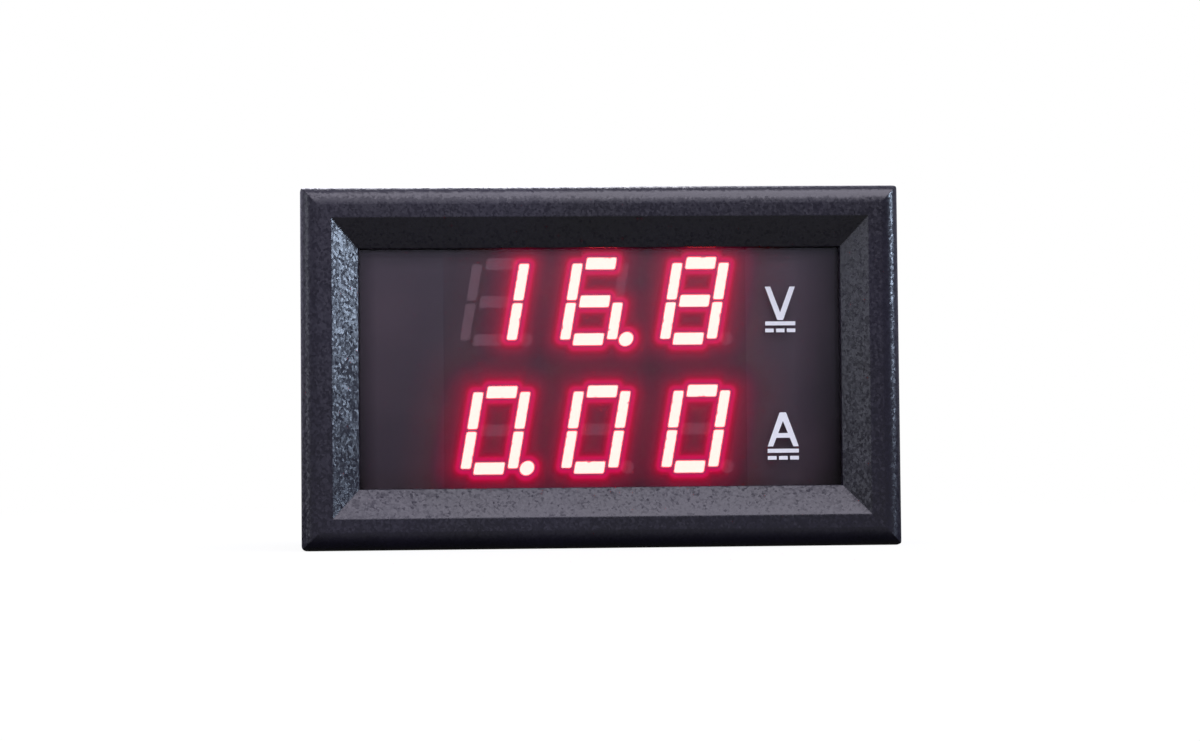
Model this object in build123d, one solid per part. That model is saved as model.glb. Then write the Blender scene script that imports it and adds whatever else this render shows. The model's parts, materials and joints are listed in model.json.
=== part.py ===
from build123d import *
import math
import os

# A small panel-mounted volt and ammeter with two rows of three seven-segment digits.
# One moulded housing snaps into a rectangular cut-out in a panel. A smoked window closes its
# front, two LED displays stand behind the window on a circuit board, and the board's parts and
# sockets are reached through the housing's open back.
# X runs right, Z up, and Y from the viewer into the panel. The origin is the middle of the
# frame's back face, the face that seats on the panel. Lengths are in millimetres.

# Digits
digit_count = 3
digit_height = 7.11
digit_pitch = 8.13
digit_slant = 10.0
segment_thickness = 0.95
segment_end_gap = 0.3
bar_thickness = 0.8
bar_spacing = 3.8
bar_gap = 0.25
bar_end_inset = 0.48
segment_corner = 0.12
dot_radius = 0.57
dot_gap = 0.19
dot_sides = 8

# LED displays
display_margin = 1.545
display_depth = 6.2
display_corner_radius = 0.3
display_gap = 0.1
display_row_gap = 0.2
display_place_x = -0.38
display_place_z = 0.22
display_foot_width = 1.4
display_recess = 1.7
display_rim = 0.7

# Inside a display
substrate_thickness = 0.8
substrate_clearance = 0.15
resin_film = 0.2
die_size = 0.3
die_height = 0.12
pin_size = 0.5
pin_pitch = 2.54
pin_edge_margin = 0.19
pins_per_row = 6
pin_overhang = 0.9

# Body behind the frame
side_bay = 8.805
end_bay = 1.2
body_depth = 19.0
body_corner_radius = 1.0
body_wall = 1.5
cavity_corner_radius = 0.5
rim_chamfer = 0.5

# Front frame
frame_overhang = 1.5
frame_thickness = 3.0
frame_edge_radius = 1.5
frame_corner_radius = 0.5
frame_land = 2.55
bevel_width = 2.3
side_bevel_width = 2.03
bevel_depth = 2.0
lip_depth = 0.8

# Snap arms in the short sides
arm_width = 8.0
arm_slot = 0.8
arm_tip_gap = 0.6
arm_length = 11.5
barb_height = 1.1
barb_grip = 2.1
barb_slope = 1.2

# Ribs and catches that hold the board
rib_width = 2.0
rib_height = 1.0
rib_place_share = 0.78
catch_width = 4.0
catch_height = 0.5
catch_depth = 2.0
catch_place_share = 0.42

# Window
window_thickness = 1.0
window_clearance = 0.1
window_corner_radius = 0.4

# Circuit board
board_thickness = 1.6
board_clearance = 0.2
board_notch_depth = 1.4
board_notch_margin = 0.4
hole_clearance = 0.15
hole_sides = 6
solder_margin = 0.3
solder_bevel = 0.18
solder_sides = 6
solder_height = 0.4
solder_clearance = 0.02
header_pin_tail = 0.5
tail_clearance = 0.1

# Power socket, two wide pins
power_width = 7.9
power_depth = 8.0
power_base = 3.2
power_height = 9.6
power_wall = 1.2
power_ridge = 0.6
power_pin = 1.14
power_pin_pitch = 3.96
power_pin_height = 8.2
power_pin_set_back = 0.7
power_edge_margin = 1.15
power_edge_rise = 1.1

# Signal socket, three narrow pins in a box
signal_width = 9.9
signal_depth = 5.75
signal_height = 7.0
signal_wall = 0.8
signal_floor = 1.6
signal_slot = 1.0
signal_slot_spacing = 5.0
signal_pin = 0.64
signal_pin_pitch = 2.5
signal_pins = 3
signal_pin_height = 6.0
signal_edge_margin = 0.4
signal_edge_rise = 0.75

# Current shunt, a bent wire
shunt_wire = 1.5
shunt_span = 8.2
shunt_height = 4.6
shunt_bend_radius = 1.8
shunt_sides = 10

# Trimmers
trimmer_size = 3.6
trimmer_base = 1.3
trimmer_fit = 0.04
rotor_radius = 1.15
rotor_thickness = 0.7
rotor_lift = 0.05
rotor_shaft_radius = 0.45
rotor_flare_radius = 0.75
rotor_flare_height = 0.25
rotor_flare_clearance = 0.1
rotor_slot_length = 1.9
rotor_slot_width = 0.4
rotor_slot_depth = 0.35
rotor_lug_reach = 0.35
rotor_lug_width = 0.5
stop_wall = 0.35
stop_height = 0.55
stop_half_angle = 47.0
terminal_width = 0.8
terminal_thickness = 0.2
terminal_reach = 0.5
terminal_height = 0.6
trimmer_place_shares = {"volt": -0.56, "amp": 0.45}

# Chips with bent leads
lead_thickness = 0.15
lead_shoulder = 0.3
lead_foot = 0.5
lead_stand_off = 0.1
chip_chamfer = 0.12
chip_dot_radius = 0.3
chip_dot_sides = 12
chip_dot_depth = 0.06
chip_dot_inset = 0.75
controller_width = 4.4
controller_length = 6.5
controller_height = 1.0
controller_lead_span = 6.4
controller_lead_width = 0.24
controller_lead_pitch = 0.65
controller_leads_per_side = 10
controller_drop = 2.0
amplifier_width = 3.9
amplifier_length = 4.9
amplifier_height = 1.4
amplifier_lead_span = 6.0
amplifier_lead_width = 0.4
amplifier_lead_pitch = 1.27
amplifier_leads_per_side = 4
amplifier_place_share = -0.44

# Regulator with a cooling tab
regulator_width = 4.5
regulator_length = 2.5
regulator_height = 1.5
regulator_tab_width = 1.7
regulator_tab_reach = 0.6
regulator_lead_width = 0.45
regulator_lead_reach = 1.0
regulator_lead_pitch = 1.5
regulator_place_share = 0.62

# Diode
diode_width = 4.3
diode_length = 2.6
diode_height = 2.1
diode_lead_width = 1.4
diode_lead_reach = 0.5

# Chip resistors and capacitors
resistor_width = 1.6
resistor_length = 0.8
resistor_height = 0.45
capacitor_width = 2.0
capacitor_length = 1.25
capacitor_height = 0.85
end_cap_share = 0.2
chip_pin_gap = 1.0
resistor_row_count = 7
resistor_row_pitch = 1.3
resistor_row_inset = 1.2
resistor_column_count = 3
resistor_column_pitch = 1.5
capacitor_pitch = 2.6

# Aluminium can capacitor
can_radius = 2.0
can_height = 5.2
can_edge = 0.25
can_groove = 0.2
can_groove_height = 1.1
can_foot_size = 4.3
can_foot_height = 0.6
can_foot_chamfer = 0.8
can_lead_width = 0.7
can_lead_reach = 0.35
can_edge_margin = 0.6
can_edge_drop = 0.9

# Cuts run past the faces that they open by this much
overrun = 1.0

# Depths, each from the piece in front of it
frame_front = -frame_thickness
window_front = frame_front + bevel_depth + lip_depth
window_back = window_front + window_thickness
display_front = window_back + display_gap
display_back = display_front + display_depth
recess_floor = display_back - display_recess
substrate_front = recess_floor + resin_film
substrate_back = substrate_front + substrate_thickness
board_front = display_back + header_pin_tail + tail_clearance
board_back = board_front + board_thickness

# Widths and heights, from the digits outwards
display_width = digit_count * digit_pitch
display_height = digit_height + 2 * display_margin
cavity_width = display_width + 2 * side_bay
cavity_height = 2 * display_height + display_row_gap + 2 * end_bay
body_width = cavity_width + 2 * body_wall
body_height = cavity_height + 2 * body_wall
frame_width = body_width + 2 * frame_overhang
frame_height = body_height + 2 * frame_overhang
board_width = cavity_width - 2 * board_clearance
board_height = cavity_height - 2 * board_clearance
row_offset = (display_height + display_row_gap) / 2
display_rows = {
    "upper": display_place_z + row_offset,
    "lower": display_place_z - row_offset,
}
substrate_inset = display_rim + substrate_clearance
substrate_width = display_width - 2 * substrate_inset
substrate_height = display_height - 2 * substrate_inset
pin_row_spacing = substrate_height - pin_size - 2 * pin_edge_margin
pin_row_length = (pins_per_row - 1) * pin_pitch
pin_half_diagonal = pin_size * math.sqrt(2) / 2
solder_reach = pin_row_length / 2 + pin_half_diagonal + solder_margin


def at_depth(y):
    """The flat plane at depth y, facing the viewer: its own x is X and its own y is Z."""
    return Plane(origin=(0, y, 0), x_dir=(1, 0, 0), z_dir=(0, -1, 0))


def slab(outline, front, back):
    """A solid with an outline drawn in X and Z, from one depth to another."""
    return extrude(at_depth(back) * outline, amount=back - front)


def on_board(place):
    """A plane on the board's back at a place (x, z). Its own y is Z, its own z is the height
    over the board, and its own x is -X."""
    return Plane(origin=(place[0], board_back, place[1]), x_dir=(-1, 0, 0), z_dir=(0, 1, 0))


def block(width, length, low, high, x=0, y=0):
    """A box on a component's own plane, centred at x and y, from one height to another."""
    return extrude(Plane.XY.offset(low) * Pos(x, y) * Rectangle(width, length), amount=high - low)


def centred(count, pitch):
    """Places of count things in a row about zero, one pitch apart."""
    return [(i - (count - 1) / 2) * pitch for i in range(count)]


# Housing

def frame_slab():
    """The frame's outside: rounded front edges that meet in mitres at the corners."""
    outline = slab(RectangleRounded(frame_width, frame_height, frame_corner_radius), frame_front, 0)
    side = Pos(frame_front / 2, 0) * Rectangle(frame_thickness, frame_height)
    side = fillet(side.vertices().group_by(Axis.X)[0], frame_edge_radius)
    top = Pos(0, frame_front / 2) * Rectangle(frame_width, frame_thickness)
    top = fillet(top.vertices().group_by(Axis.Y)[0], frame_edge_radius)
    across = extrude(Plane.YZ * side, amount=frame_width / 2 + overrun, both=True)
    upright = extrude(Plane.XY * top, amount=frame_height / 2 + overrun, both=True)
    return outline & across & upright


def bevel_opening():
    """The cut that leaves the sloping inner faces of the frame and the straight lip behind them.
    The side slopes are steeper than the upper and lower ones."""
    width = frame_width - 2 * (frame_land + side_bevel_width)
    height = frame_height - 2 * (frame_land + bevel_width)
    stretch = (bevel_depth + overrun) / bevel_depth
    throat = Rectangle(width, height)
    mouth = Rectangle(width + 2 * stretch * side_bevel_width, height + 2 * stretch * bevel_width)
    flare = loft([at_depth(frame_front - overrun) * mouth, at_depth(frame_front + bevel_depth) * throat])
    return flare + slab(throat, frame_front + bevel_depth / 2, window_front + overrun)


def body_shell():
    """The box behind the frame, open at the back, with a chamfered rim."""
    outside = slab(RectangleRounded(body_width, body_height, body_corner_radius), frame_front / 2, body_depth)
    outside = chamfer(outside.faces().sort_by(Axis.Y)[-1].edges(), rim_chamfer)
    return outside


def cavity():
    """The hollow of the body, from the window's seat to the open back."""
    return slab(
        RectangleRounded(cavity_width, cavity_height, cavity_corner_radius),
        window_front,
        body_depth + overrun,
    )


def board_ribs():
    """Four ribs on the long walls that the board rests against."""
    x = rib_place_share * cavity_width / 2
    height = rib_height + body_wall / 2
    z = cavity_height / 2 + body_wall / 2 - height / 2
    outline = Rectangle(rib_width, height)
    places = [Pos(sx * x, sz * z) for sx in (-1, 1) for sz in (-1, 1)]
    return [slab(place * outline, window_front, board_front) for place in places]


def board_catches():
    """Four wedges on the long walls that the board snaps behind."""
    wall = cavity_height / 2
    root = wall + body_wall / 2
    profile = Plane.YZ * Polygon(
        (board_back, root),
        (board_back, wall - catch_height),
        (board_back + catch_depth, wall),
        (board_back + catch_depth, root),
        align=None,
    )
    wedge = extrude(profile, amount=catch_width / 2, both=True)
    x = catch_place_share * cavity_width / 2
    upper = [Pos(sx * x, 0, 0) * wedge for sx in (-1, 1)]
    return upper + [mirror(w, about=Plane.XY) for w in upper]


def arm_window():
    """The slot round one snap arm, cut through the right-hand side wall."""
    inner = cavity_width / 2 - overrun / 2
    outer = body_width / 2 + overrun
    outline = Pos((inner + outer) / 2, 0) * Rectangle(outer - inner, arm_width + 2 * arm_slot)
    return slab(outline, arm_tip_gap, arm_tip_gap + arm_slot + arm_length)


def snap_arm():
    """The right-hand arm: it springs from its back end, and its barb locks behind the panel."""
    inner = cavity_width / 2
    outer = body_width / 2
    tip = arm_tip_gap + arm_slot
    root = tip + arm_length
    profile = Plane.XY * Polygon(
        (inner, tip),
        (outer, tip),
        (outer, barb_grip),
        (outer + barb_height, barb_grip + barb_slope),
        (outer, root - arm_slot),
        (outer, root + arm_slot),
        (inner, root + arm_slot),
        align=None,
    )
    return extrude(profile, amount=arm_width / 2, both=True)


def housing():
    """The moulding: frame, body, ribs, catches and the two snap arms in one piece."""
    shape = frame_slab() + body_shell() - cavity() - bevel_opening()
    for piece in board_ribs() + board_catches():
        shape += piece
    slot, arm = arm_window(), snap_arm()
    for cut in (slot, mirror(slot, about=Plane.YZ)):
        shape -= cut
    for piece in (arm, mirror(arm, about=Plane.YZ)):
        shape += piece
    return shape


def window():
    """The smoked window, which seats on the frame's inner face between the ribs."""
    width = cavity_width - 2 * window_clearance
    height = cavity_height - 2 * rib_height - 2 * window_clearance
    return slab(RectangleRounded(width, height, window_corner_radius), window_front, window_back)


# Displays

def slant(z):
    """How far a digit leans to the right at height z."""
    return z * math.tan(math.radians(digit_slant))


def slanted_bar(x, z, width, height):
    """A bar of a digit with its corners cut, centred at x and z, leaning with the digit."""
    corners = [(sx * width / 2, sz * height / 2) for sx, sz in ((-1, -1), (1, -1), (1, 1), (-1, 1))]
    points = [(x + dx + slant(z + dz), z + dz) for dx, dz in corners]
    bar = Polygon(*points, align=None)
    return chamfer(bar.vertices(), segment_corner)


def digit_outlines():
    """The seven bars and the dot of one digit, about the digit's middle."""
    across = digit_height / 2 - segment_thickness / 2
    side = bar_spacing / 2
    segment_length = bar_spacing - bar_thickness - 2 * segment_end_gap
    bar_length = digit_height / 2 - bar_end_inset - bar_gap / 2
    up = (bar_gap + bar_length) / 2
    bars = [slanted_bar(0, z, segment_length, segment_thickness) for z in (across, 0, -across)]
    bars += [slanted_bar(x, z, bar_thickness, bar_length) for x in (-side, side) for z in (up, -up)]
    dot_x = side + bar_thickness / 2 + dot_gap + dot_radius + slant(-across)
    return bars + [Pos(dot_x, -across) * RegularPolygon(dot_radius, dot_sides)]


def digit_places(row_z):
    """The middle of each digit in a display, as (x, z)."""
    return [(display_place_x + dx, row_z) for dx in centred(digit_count, digit_pitch)]


def light_wells(row_z, front, back):
    """The prisms of all the bars and dots of one display."""
    outlines = digit_outlines()
    return [
        slab(Pos(x, z) * outline, front, back)
        for x, z in digit_places(row_z)
        for outline in outlines
    ]


def display_outline(row_z):
    """A display's outer rectangle."""
    rectangle = RectangleRounded(display_width, display_height, display_corner_radius)
    return Pos(display_place_x, row_z) * rectangle


def recess_outline(row_z):
    """The hollow in a display's back, which the resin fills."""
    width, height = display_width - 2 * display_rim, display_height - 2 * display_rim
    return Pos(display_place_x, row_z) * Rectangle(width, height)


def display_feet(row_z):
    """Four feet in the corners, which stand on the board."""
    x = display_width / 2 - display_corner_radius - display_foot_width / 2
    z = display_height / 2 - display_rim / 2
    foot = Rectangle(display_foot_width, display_rim)
    places = [Pos(display_place_x + sx * x, row_z + sz * z) for sx in (-1, 1) for sz in (-1, 1)]
    return [slab(place * foot, recess_floor, board_front) for place in places]


def display_shell(row_z):
    """The moulded reflector: a block with a well for each bar, a hollow back and four feet."""
    shell = slab(display_outline(row_z), display_front, display_back) + display_feet(row_z)
    shell -= slab(recess_outline(row_z), recess_floor, display_back + overrun)
    return shell - light_wells(row_z, display_front - overrun, recess_floor + overrun / 2)


def display_substrate(row_z):
    """The small board at the bottom of the light wells."""
    outline = Pos(display_place_x, row_z) * Rectangle(substrate_width, substrate_height)
    return slab(outline, substrate_front, substrate_back)


def display_dies(row_z):
    """One light-emitting die on the substrate under each bar and dot."""
    die = Rectangle(die_size, die_size)
    middles = [outline.center() for outline in digit_outlines()]
    return [
        slab(Pos(x + middle.X, z + middle.Y) * die, substrate_front - die_height, substrate_front)
        for x, z in digit_places(row_z)
        for middle in middles
    ]


def display_pin_places(row_z):
    """Where a display's pins stand, as (x, z)."""
    return [
        (display_place_x + dx, row_z + sz * pin_row_spacing / 2)
        for sz in (-1, 1)
        for dx in centred(pins_per_row, pin_pitch)
    ]


def display_pins(row_z):
    """The square pins from the substrate's back through the circuit board."""
    pin = Rectangle(pin_size, pin_size)
    return [
        slab(Pos(x, z) * pin, substrate_back, board_back + pin_overhang)
        for x, z in display_pin_places(row_z)
    ]


def display_resin(row_z):
    """The clear casting that fills the wells and the back, round the substrate, dies and pins."""
    resin = slab(recess_outline(row_z), recess_floor, display_back)
    resin += light_wells(row_z, display_front, recess_floor)
    resin -= display_substrate(row_z)
    return resin - display_dies(row_z) - display_pins(row_z)


# Circuit board

def board_places():
    """The middle of each component on the board, as (x, z)."""
    right, top = board_width / 2, board_height / 2
    upper, lower = display_rows["upper"], display_rows["lower"]
    chip_reach = solder_reach + chip_pin_gap + capacitor_width / 2
    column_x = display_place_x + chip_reach
    free_x = (column_x + capacitor_width / 2 + right) / 2
    controller_z = upper - controller_drop
    signal_top = signal_edge_rise + signal_depth - top
    free_z = (controller_z - controller_length / 2 + signal_top) / 2
    between_pins = display_place_x, pin_row_length / 2
    places = {
        "power": (
            power_edge_margin + power_width / 2 - right,
            power_edge_rise + power_depth / 2 - top,
        ),
        "signal": (right - signal_edge_margin - signal_width / 2, signal_top - signal_depth / 2),
        "shunt": ((display_place_x - pin_row_length / 2 - right) / 2, upper),
        "can": (
            can_edge_margin + can_foot_size / 2 - right,
            top - can_edge_drop - can_foot_size / 2,
        ),
        "amplifier": (between_pins[0] + amplifier_place_share * between_pins[1], upper),
        "regulator": (between_pins[0] + regulator_place_share * between_pins[1], upper),
        "controller": (free_x, controller_z),
        "diode": (free_x, free_z),
        "resistor_row": (free_x, top - resistor_row_inset - resistor_width / 2),
        "resistor_column": (column_x, upper),
        "right_capacitors": (column_x, display_place_z),
        "left_capacitors": (display_place_x - chip_reach, upper),
    }
    for name, share in trimmer_place_shares.items():
        places[name] = (between_pins[0] + share * between_pins[1], lower)
    return places


place_of = board_places()


def through_pins():
    """Middles of what goes through the board beside the displays' pins, as (x, z)."""
    power_x, power_z = place_of["power"]
    signal_x, signal_z = place_of["signal"]
    shunt_x, shunt_z = place_of["shunt"]
    return {
        "power": [(power_x + dx, power_z + power_pin_set_back) for dx in centred(2, power_pin_pitch)],
        "signal": [(signal_x + dx, signal_z) for dx in centred(signal_pins, signal_pin_pitch)],
        "shunt": [(shunt_x, shunt_z + dz) for dz in centred(2, shunt_span)],
    }


def through_reach():
    """How far each kind of pin reaches from its own middle."""
    half_diagonal_share = math.sqrt(2) / 2
    return {
        "power": power_pin * half_diagonal_share,
        "signal": signal_pin * half_diagonal_share,
        "shunt": shunt_wire / 2,
    }


def board_hole(x, z, reach):
    """The cut for one pin."""
    hole = Pos(x, z) * RegularPolygon(reach + hole_clearance, hole_sides)
    return slab(hole, board_front - overrun, board_back + overrun)


def board_notches():
    """The cuts in the board's short edges, which leave the snap arms room to bend."""
    notch_height = arm_width + 2 * arm_slot + 2 * board_notch_margin
    notch = Rectangle(2 * board_notch_depth, notch_height)
    return [
        slab(Pos(side * board_width / 2, 0) * notch, board_front - overrun, board_back + overrun)
        for side in (-1, 1)
    ]


def circuit_board():
    """The board, notched beside the snap arms and drilled for every pin."""
    board = slab(Rectangle(board_width, board_height), board_front, board_back) - board_notches()
    holes = [
        board_hole(x, z, pin_half_diagonal)
        for row_z in display_rows.values()
        for x, z in display_pin_places(row_z)
    ]
    reach = through_reach()
    holes += [board_hole(x, z, reach[kind]) for kind, spots in through_pins().items() for x, z in spots]
    return board - holes


def solder_joint(x, z, pin_outline, reach, at_back):
    """A small bevelled mound of solder round a pin, on the back or the front of the board."""
    foot = Pos(x, z) * RegularPolygon(reach + solder_margin, solder_sides)
    face = board_back if at_back else board_front
    top = face + solder_height if at_back else face - solder_height
    mound = slab(foot, min(face, top), max(face, top))
    mound = chamfer(mound.faces().sort_by(Axis.Y)[-1 if at_back else 0].edges(), solder_bevel)
    return mound - slab(Pos(x, z) * pin_outline, board_front - overrun, board_back + overrun)


def solder_joints():
    """Every pin's solder: the displays' at the back, the sockets' and shunt's in front."""
    grown = 2 * solder_clearance
    display_pin = Rectangle(pin_size + grown, pin_size + grown)
    mounds = [
        solder_joint(x, z, display_pin, pin_half_diagonal, True)
        for row_z in display_rows.values()
        for x, z in display_pin_places(row_z)
    ]
    outlines = {
        "power": Rectangle(power_pin + grown, power_pin + grown),
        "signal": Rectangle(signal_pin + grown, signal_pin + grown),
        "shunt": RegularPolygon(shunt_wire / 2 + solder_clearance, shunt_sides),
    }
    reach = through_reach()
    for kind, spots in through_pins().items():
        mounds += [solder_joint(x, z, outlines[kind], reach[kind], False) for x, z in spots]
    return mounds


# Sockets and shunt on the board's back

def pin_tail():
    """How far a socket's pin reaches below the board's back face."""
    return board_thickness + header_pin_tail


def power_socket_shell():
    """The open two-way base with one tall locking wall and a ridge near its top."""
    shell = block(power_width, power_depth, 0, power_base)
    wall_y = (power_wall - power_depth) / 2
    shell += block(power_width, power_wall, 0, power_height, y=wall_y)
    ridge_y = power_wall + (power_ridge - power_depth) / 2
    ridge_low = power_height - 2 * power_ridge
    shell += block(power_width / 2, power_ridge, ridge_low, power_height - power_ridge / 2, y=ridge_y)
    size = power_pin + 2 * solder_clearance
    for x in centred(2, power_pin_pitch):
        shell -= block(size, size, -overrun, power_base + overrun, x=x, y=power_pin_set_back)
    return on_board(place_of["power"]) * shell


def pointed_pin(size, height, x, y):
    """A square pin with a bevelled tip, from its tail through the board to its height."""
    pin = block(size, size, -pin_tail(), height, x=x, y=y)
    return chamfer(pin.faces().sort_by(Axis.Z)[-1].edges(), size / 4)


def power_socket_pins():
    """Two wide pins."""
    plane = on_board(place_of["power"])
    return [
        plane * pointed_pin(power_pin, power_pin_height, x, power_pin_set_back)
        for x in centred(2, power_pin_pitch)
    ]


def signal_socket_shell():
    """The three-way box with two key slots in its upper wall."""
    shell = block(signal_width, signal_depth, 0, signal_height)
    pocket_width = signal_width - 2 * signal_wall
    pocket_depth = signal_depth - 2 * signal_wall
    shell -= block(pocket_width, pocket_depth, signal_floor, signal_height + overrun)
    slot_y = (signal_depth - signal_wall) / 2
    for x in centred(2, signal_slot_spacing):
        low = signal_height / 2
        shell -= block(signal_slot, 2 * signal_wall, low, signal_height + overrun, x=x, y=slot_y)
    size = signal_pin + 2 * solder_clearance
    for x in centred(signal_pins, signal_pin_pitch):
        shell -= block(size, size, -overrun, signal_floor + overrun, x=x)
    return on_board(place_of["signal"]) * shell


def signal_socket_pins():
    """Three narrow pins."""
    plane = on_board(place_of["signal"])
    return [
        plane * pointed_pin(signal_pin, signal_pin_height, x, 0)
        for x in centred(signal_pins, signal_pin_pitch)
    ]


def current_shunt():
    """A thick resistance wire bent to a bridge, its legs soldered through the board."""
    top = shunt_height - shunt_wire / 2
    half = shunt_span / 2
    foot = -pin_tail()
    line = FilletPolyline(
        (0, -half, foot), (0, -half, top), (0, half, top), (0, half, foot), radius=shunt_bend_radius
    )
    section = Plane(origin=line @ 0, z_dir=line % 0) * RegularPolygon(shunt_wire / 2, shunt_sides)
    return on_board(place_of["shunt"]) * sweep(section, path=line)


# Trimmers

def ring_sector(inner, outer, low, high, middle_angle, half_angle):
    """Part of a ring about the trimmer's axis, its middle at an angle from its own x."""
    ring = Circle(outer) - Circle(inner)
    reach = 2 * outer
    angles = [math.radians(middle_angle + share * half_angle) for share in (-1, 0, 1)]
    rim = [(reach * math.cos(angle), reach * math.sin(angle)) for angle in angles]
    wedge = Polygon((0, 0), *rim, align=None)
    return extrude(Plane.XY.offset(low) * (ring & wedge), amount=high - low)


def disc(radius, low, high):
    """A cylinder on a component's own plane, from one height to another."""
    return extrude(Plane.XY.offset(low) * Circle(radius), amount=high - low)


def rotor_flare_top():
    """The height of the flare's upper side, which turns under the base."""
    return rotor_flare_clearance + rotor_flare_height


def trimmer_base_shape(place):
    """The square base with a stepped bore for the rotor and the stop that its lug meets."""
    base = block(trimmer_size, trimmer_size, 0, trimmer_base)
    base -= disc(rotor_shaft_radius + trimmer_fit, -overrun, trimmer_base + overrun)
    recess = rotor_flare_radius + rotor_flare_clearance
    base -= disc(recess, -overrun, rotor_flare_top() + rotor_lift)
    inner = rotor_radius + trimmer_fit
    outer = rotor_radius + rotor_lug_reach + stop_wall / 2
    base += ring_sector(inner, outer, trimmer_base, trimmer_base + stop_height, -90, stop_half_angle)
    return on_board(place) * base


def trimmer_rotor(place):
    """The turning piece: a slotted disc with a lug at its rim, on a shaft flared below the base."""
    low = trimmer_base + rotor_lift
    high = low + rotor_thickness
    rotor = disc(rotor_radius, low, high)
    lug_reach = rotor_radius + rotor_lug_reach
    rotor += block(rotor_lug_width, lug_reach, low, low + stop_height / 2, y=lug_reach / 2)
    slot_floor = high - rotor_slot_depth
    rotor -= block(rotor_slot_width, rotor_slot_length, slot_floor, high + overrun)
    rotor -= block(rotor_slot_length, rotor_slot_width, slot_floor, high + overrun)
    rotor += disc(rotor_shaft_radius, rotor_flare_clearance, low + rotor_lift)
    rotor += disc(rotor_flare_radius, rotor_flare_clearance, rotor_flare_top())
    return on_board(place) * rotor


def trimmer_terminals(place):
    """Three bent tabs: two on the stop's side and one opposite."""
    half = trimmer_size / 2
    tabs = []
    for x, side in ((-trimmer_size / 4, -1), (trimmer_size / 4, -1), (0, 1)):
        foot_y = side * (half + terminal_reach / 2)
        tab = block(terminal_width, terminal_reach, 0, terminal_thickness, x=x, y=foot_y)
        wall_y = side * (half + terminal_thickness / 2)
        tab += block(terminal_width, terminal_thickness, 0, terminal_height, x=x, y=wall_y)
        tabs.append(on_board(place) * tab)
    return tabs


# Chips

def chip_body(width, length, height, place):
    """A moulded chip with chamfered top edges and a round mark in one corner."""
    low = lead_stand_off
    body = block(width, length, low, low + height)
    body = chamfer(body.faces().sort_by(Axis.Z)[-1].edges(), chip_chamfer)
    x = width / 2 - chip_dot_inset
    y = length / 2 - chip_dot_inset
    spot = Pos(x, y) * RegularPolygon(chip_dot_radius, chip_dot_sides)
    mark = Plane.XY.offset(low + height - chip_dot_depth) * spot
    return on_board(place) * (body - extrude(mark, amount=overrun))


def chip_leads(width, height, span, lead_width, pitch, per_side, place):
    """Bent leads down both long sides of a chip."""
    middle = lead_stand_off + height / 2
    half = lead_thickness / 2
    side, reach = width / 2, span / 2
    heel = reach - lead_foot
    profile = Polygon(
        (side, middle + half),
        (side + lead_shoulder, middle + half),
        (heel + lead_thickness, lead_thickness),
        (reach, lead_thickness),
        (reach, 0),
        (heel, 0),
        (side + lead_shoulder - lead_thickness, middle - half),
        (side, middle - half),
        align=None,
    )
    leads = []
    for y in centred(per_side, pitch):
        plane = Plane(origin=(0, y + lead_width / 2, 0), x_dir=(1, 0, 0), z_dir=(0, -1, 0))
        lead = extrude(plane * profile, amount=lead_width)
        leads += [lead, mirror(lead, about=Plane.YZ)]
    return [on_board(place) * lead for lead in leads]


def regulator_case():
    """The regulator's moulded body, which lies on its own metal."""
    body = block(regulator_width, regulator_length, lead_thickness, regulator_height)
    body = chamfer(body.faces().sort_by(Axis.Z)[-1].edges(), chip_chamfer)
    return on_board(place_of["regulator"]) * body


def regulator_metal():
    """The flat tab under the regulator and its two outer leads."""
    tab_low = -regulator_length / 2 - regulator_lead_reach
    tab_high = regulator_length / 2 + regulator_tab_reach
    plate_length = regulator_length + regulator_tab_reach
    plate = block(
        regulator_tab_width, plate_length, 0, lead_thickness, y=tab_high - plate_length / 2
    )
    plate += block(
        regulator_lead_width, tab_high - tab_low, 0, lead_thickness, y=(tab_high + tab_low) / 2
    )
    outer_length = regulator_length / 2 + regulator_lead_reach
    outer = [
        block(regulator_lead_width, outer_length, 0, lead_thickness, x=x, y=-outer_length / 2)
        for x in (-regulator_lead_pitch, regulator_lead_pitch)
    ]
    return [on_board(place_of["regulator"]) * piece for piece in [plate] + outer]


def diode_case():
    """The diode's moulded block."""
    body = block(diode_width, diode_length, lead_stand_off, diode_height)
    body = chamfer(body.faces().sort_by(Axis.Z)[-1].edges(), chip_chamfer)
    return on_board(place_of["diode"]) * body


def diode_metal():
    """The two tabs that wrap round the ends of the diode."""
    tabs = []
    for side in (-1, 1):
        x = side * (diode_width / 2 + lead_thickness / 2)
        tab = block(lead_thickness, diode_lead_width, 0, diode_height / 2, x=x)
        foot_x = side * (diode_width / 2 + diode_lead_reach / 2)
        tab += block(diode_lead_reach, diode_lead_width, 0, lead_thickness, x=foot_x)
        tabs.append(on_board(place_of["diode"]) * tab)
    return tabs


# Chip resistors and capacitors

def resistor_planes():
    """Planes of the row of upright resistors and of the column of level ones."""
    row = on_board(place_of["resistor_row"])
    column = on_board(place_of["resistor_column"])
    upright = [
        row * Pos(dx, 0) * Rot(0, 0, 90) for dx in centred(resistor_row_count, resistor_row_pitch)
    ]
    level = [column * Pos(0, dy) for dy in centred(resistor_column_count, resistor_column_pitch)]
    return upright + level


def capacitor_planes():
    """Planes of the two pairs of capacitors, one pair on each side of the displays' pins."""
    return [
        on_board(place_of[side]) * Pos(0, dy)
        for side in ("left_capacitors", "right_capacitors")
        for dy in centred(2, capacitor_pitch)
    ]


def chip_middle(width, length, height):
    """The bare middle of a chip part, between its metal ends."""
    return block(width * (1 - 2 * end_cap_share), length, 0, height)


def chip_ends(width, length, height):
    """The two metal ends of a chip part."""
    end = width * end_cap_share
    return [
        block(end, length, 0, height, x=side * (width / 2 - end / 2)) for side in (-1, 1)
    ]


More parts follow.
